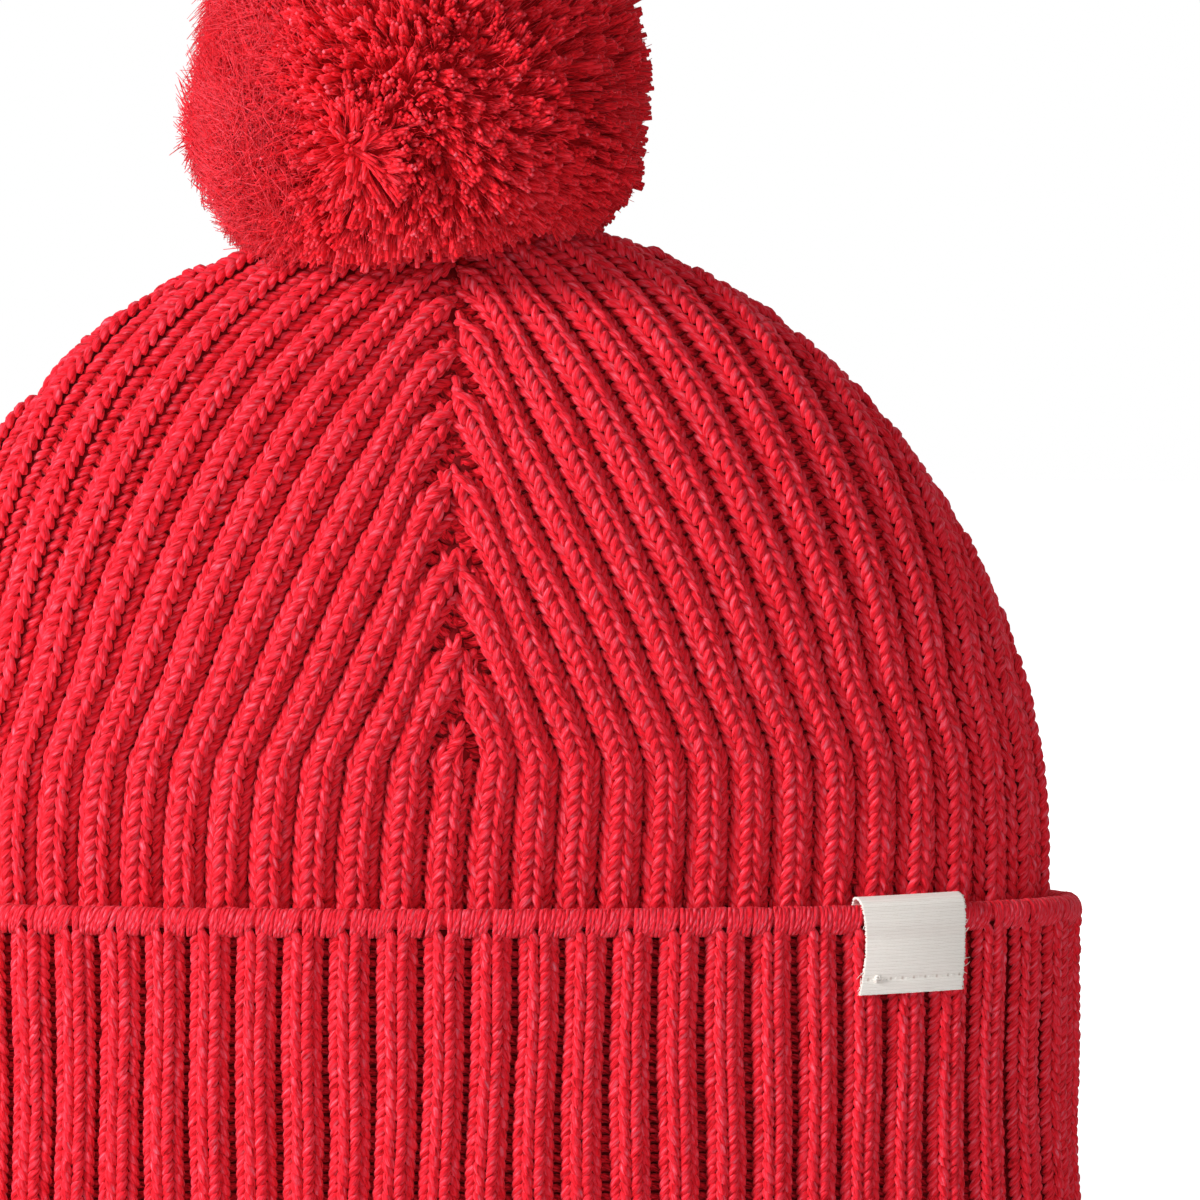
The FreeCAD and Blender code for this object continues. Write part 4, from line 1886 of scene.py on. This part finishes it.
    def threads(self, finish: bpy.types.Material) -> bpy.types.Object:
        """The sewing thread's stitches, its knot, and the frayed ends along the cut edges.

        Args:
            finish: The cotton.

        Returns:
            The piece.
        """
        t = np.linspace(-0.5, 0.5, 6)
        pitch = self.wide / self.holes
        gap = (np.arange(self.holes - 1) + 1) / self.holes - 0.5
        face = self.thick / 2 + 0.02
        across = gap[:, None] + t * 0.62 * pitch / self.wide
        sunk = face - 0.16 - 0.30 * np.abs(2 * t) ** 3
        rise = self.seam_up + self.rng.normal(0, 0.05, (len(gap), 1)) + 0 * t
        stitches = self.places(across, rise, sunk + 0 * across)
        groups = [self.thread(stitches, 0.15, 0.12, 0.55, 0.2, 6)]
        turn = np.linspace(0, 4.2 * np.pi, 26)
        knot_across = -0.36 + 0.030 * np.cos(turn) * np.cos(0.31 * turn)
        knot_along = self.seam_up + 0.62 * np.sin(turn) * np.cos(0.17 * turn)
        knot = self.places(knot_across, knot_along, face + 0.12 + 0.16 * np.sin(1.3 * turn))[None]
        groups.append(self.thread(knot, 0.17, 0.17, 0.95, 0.1, 6))
        s = np.linspace(0, 1, 6)
        start = self.rng.uniform(-0.5, 0.5, (self.frayed, 1))
        length = np.abs(self.rng.normal(0, 0.55, (self.frayed, 1))) + 0.15
        bend = self.rng.normal(0, 0.035, (self.frayed, 1))
        ends = self.places(start + bend * s**2, 0.3 - length * s, face - 0.2 + 0.35 * s**2 + 0 * start)
        thin = 0.085 * (1 - 0.5 * s) * np.ones((self.frayed, 1))
        groups.append(self.thread(ends, thin, thin, 0.9))
        side = np.where(np.arange(self.hairs)[:, None] % 2 == 0, -0.5, 0.5)
        level = self.rng.uniform(0.5, self.course[-1, 2] * 0.46, (self.hairs, 1))
        reach = (np.abs(self.rng.normal(0, 0.022, (self.hairs, 1))) + 0.006) * np.sign(side)
        rise = level + self.rng.normal(0, 0.5, (self.hairs, 1)) * s**2
        hair = self.places(side + reach * s, rise, face - 0.2 + 0 * side)
        thin = 0.07 * (1 - 0.5 * s) * np.ones((self.hairs, 1))
        groups.append(self.thread(hair, thin, thin, 0.85))
        return strands_object("tab_sewing_and_frayed_threads", groups, finish)


# --------------------------------------------------------------------------- studio


@dataclass
class Studio:
    """Camera, lamps, floor and surroundings."""

    aim: tuple[float, float, float] = (0.0231, 0.0, 0.102)
    rise: float = 3.0
    distance: float = 1.6
    view_wide: float = 0.1914
    sensor: float = 36.0
    air: float = 0.20
    floor_glow: float = 0.78
    floor_round: float = 3.0
    floor_sides: int = 96
    lit_height: float = 0.11

    def camera(self) -> None:
        """Look along +Y from slightly above."""
        data = bpy.data.cameras.new("camera")
        data.sensor_width = self.sensor
        data.lens = self.sensor * self.distance / self.view_wide
        data.clip_end = 50.0
        item = shown("camera", data)
        angle = math.radians(self.rise)
        item.location = (
            self.aim[0],
            self.aim[1] - self.distance * math.cos(angle),
            self.aim[2] + self.distance * math.sin(angle),
        )
        item.rotation_euler = (math.radians(90.0) - angle, 0.0, 0.0)
        bpy.context.scene.camera = item

    def lamp(self, name: str, place: tuple[float, float, float], power: float, size: float) -> None:
        """Add one soft square lamp that faces the hat.

        Args:
            name: Its name.
            place: Where it stands, in metres.
            power: Its power in watts.
            size: Its side in metres.
        """
        data = bpy.data.lights.new(name, "AREA")
        data.energy = power
        data.size = size
        item = shown(name, data)
        item.location = place
        way = np.array([0.0, 0.0, self.lit_height]) - np.array(place)
        flat = math.hypot(way[0], way[1])
        item.rotation_euler = (math.atan2(flat, -way[2]), 0.0, math.atan2(way[1], way[0]) - math.pi / 2)

    def lamps(self) -> None:
        """A key lamp from the upper left, a fill from the front and a weak one behind."""
        self.lamp("key", (-1.16, -0.72, 0.58), 22.0, 0.42)
        self.lamp("fill", (0.20, -1.5, 0.30), 4.6, 0.9)
        self.lamp("rim", (0.5, 1.0, 0.9), 4.0, 0.8)

    def surroundings(self) -> None:
        """White air to look at, which lights the hat more weakly."""
        world = bpy.data.worlds.new("studio")
        world.use_nodes = True
        bpy.context.scene.world = world
        tree = world.node_tree
        tree.nodes.clear()
        end = tree.nodes.new("ShaderNodeOutputWorld")
        seen = tree.nodes.new("ShaderNodeBackground")
        lit = tree.nodes.new("ShaderNodeBackground")
        for glow, strength in ((seen, 1.0), (lit, self.air)):
            glow.inputs["Strength"].default_value = strength
            glow.inputs["Color"].default_value = (1.0, 1.0, 1.0, 1.0)
        path = tree.nodes.new("ShaderNodeLightPath")
        chosen = path.outputs["Is Camera Ray"]
        for kind in ("Is Glossy Ray", "Is Transmission Ray"):
            either = tree.nodes.new("ShaderNodeMath")
            either.operation = "MAXIMUM"
            tree.links.new(chosen, either.inputs[0])
            tree.links.new(path.outputs[kind], either.inputs[1])
            chosen = either.outputs[0]
        mix = tree.nodes.new("ShaderNodeMixShader")
        tree.links.new(chosen, mix.inputs[0])
        tree.links.new(lit.outputs[0], mix.inputs[1])
        tree.links.new(seen.outputs[0], mix.inputs[2])
        tree.links.new(mix.outputs[0], end.inputs["Surface"])

    def floor(self) -> None:
        """A round pale floor under the hat."""
        n = Nodes("pale_floor")
        n.shader.inputs["Base Color"].default_value = (0.9, 0.9, 0.9, 1.0)
        n.shader.inputs["Roughness"].default_value = 0.9
        glow = n.add("ShaderNodeEmission")
        glow.inputs["Strength"].default_value = self.floor_glow
        path = n.add("ShaderNodeLightPath")
        mix = n.add("ShaderNodeMixShader")
        lit = n.add("ShaderNodeAddShader")
        n.join(n.shader.outputs["BSDF"], lit.inputs[0])
        n.join(glow.outputs[0], lit.inputs[1])
        n.join(path.outputs["Is Camera Ray"], mix.inputs[0])
        n.join(n.shader.outputs["BSDF"], mix.inputs[1])
        n.join(lit.outputs[0], mix.inputs[2])
        n.join(mix.outputs[0], n.end.inputs["Surface"])
        turn = np.arange(self.floor_sides) * 2 * np.pi / self.floor_sides
        ring = joined(self.floor_round * np.cos(turn), self.floor_round * np.sin(turn), 0.0)
        mesh = bpy.data.meshes.new("floor")
        mesh.from_pydata(ring.tolist(), [], [list(range(self.floor_sides))])
        mesh.materials.append(n.material)
        shown("floor", mesh)


def report(piece: bpy.types.Object) -> None:
    """Log a piece's name and face count."""
    LOG.info("%s: %d faces", piece.name, len(piece.data.polygons))


def main() -> None:
    """Build the studio and every part of the hat."""
    logging.basicConfig(level=logging.INFO, format="%(name)s %(message)s")
    studio = Studio()
    studio.camera()
    studio.lamps()
    studio.surroundings()
    studio.floor()
    bpy.context.scene.view_settings.view_transform = "Standard"

    cuff_yarn = YarnFinish("cuff_yarn", DEEP_RED, RED, ROSE_RED, HIGHLIGHT_RED).make()
    crown_yarn = YarnFinish("crown_yarn", DEEP_RED, RED, ROSE_RED, HIGHLIGHT_RED).make()
    pom_yarn = YarnFinish("pom_yarn", POM_DEEP, POM_RED, POM_ROSE, POM_HIGHLIGHT, relief=0.25, lift=-0.02).make()
    # Painted shade: the dark cloth between and behind the ribs.
    under = ClothFinish("rib_wrong_side", SHADE_RED, RIB_BACK_SHADE_RED).make()
    # Painted shade: the pom's packed yarn, darker than its yarn.
    heart = ClothFinish("packed_pom_yarn_shade", PACKED_DEEP_SHADE, PACKED_SHADE_RED).make()
    # Painted shade: the dark wound yarn on the CAD parts left showing.
    thread = ThreadFinish("wound_thread", SHADE_RED, THREAD_SHADE_RED).make()

    cuff = Cuff()
    for piece in [*cuff.knit(cuff_yarn), cuff.backing(under)]:
        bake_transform(piece)
        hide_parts("cuff_fold", "cuff_outer_layer", "cuff_seam_yarn")
        report(piece)

    edge = BoundEdge(cuff).make(cuff_yarn)
    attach(edge, "cuff_edge")
    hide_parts("cuff_welt")
    report(edge)

    tab = Tab(cuff)
    tape = TapeFinish("woven_tape", HOLE, TAPE_SHADE, TAPE, tab.seam_up, tab.wide / tab.holes).make()
    woven, threads = tab.tape(tape), tab.threads(tape)
    for piece, slot, node in ((woven, "tab_tape", "label_tab"), (threads, "sewing_thread", "label_stitches")):
        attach(piece, "cuff_edge")
        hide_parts(node)
        report(piece)

    crown = Crown()
    for piece in crown.knit(crown_yarn):
        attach(piece, "crown")
        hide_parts("crown_shell")
        report(piece)
    cloth = crown.backing(under)
    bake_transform(cloth)
    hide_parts("crown_shell")
    report(cloth)

    for piece in Pom(crown).make(pom_yarn, heart):
        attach(piece, "pom")
        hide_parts("pom_fibres")
        report(piece)

    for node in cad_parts.values():
        node.data.materials.clear()
        node.data.materials.append(thread)


if __name__ == "__main__":
    main()
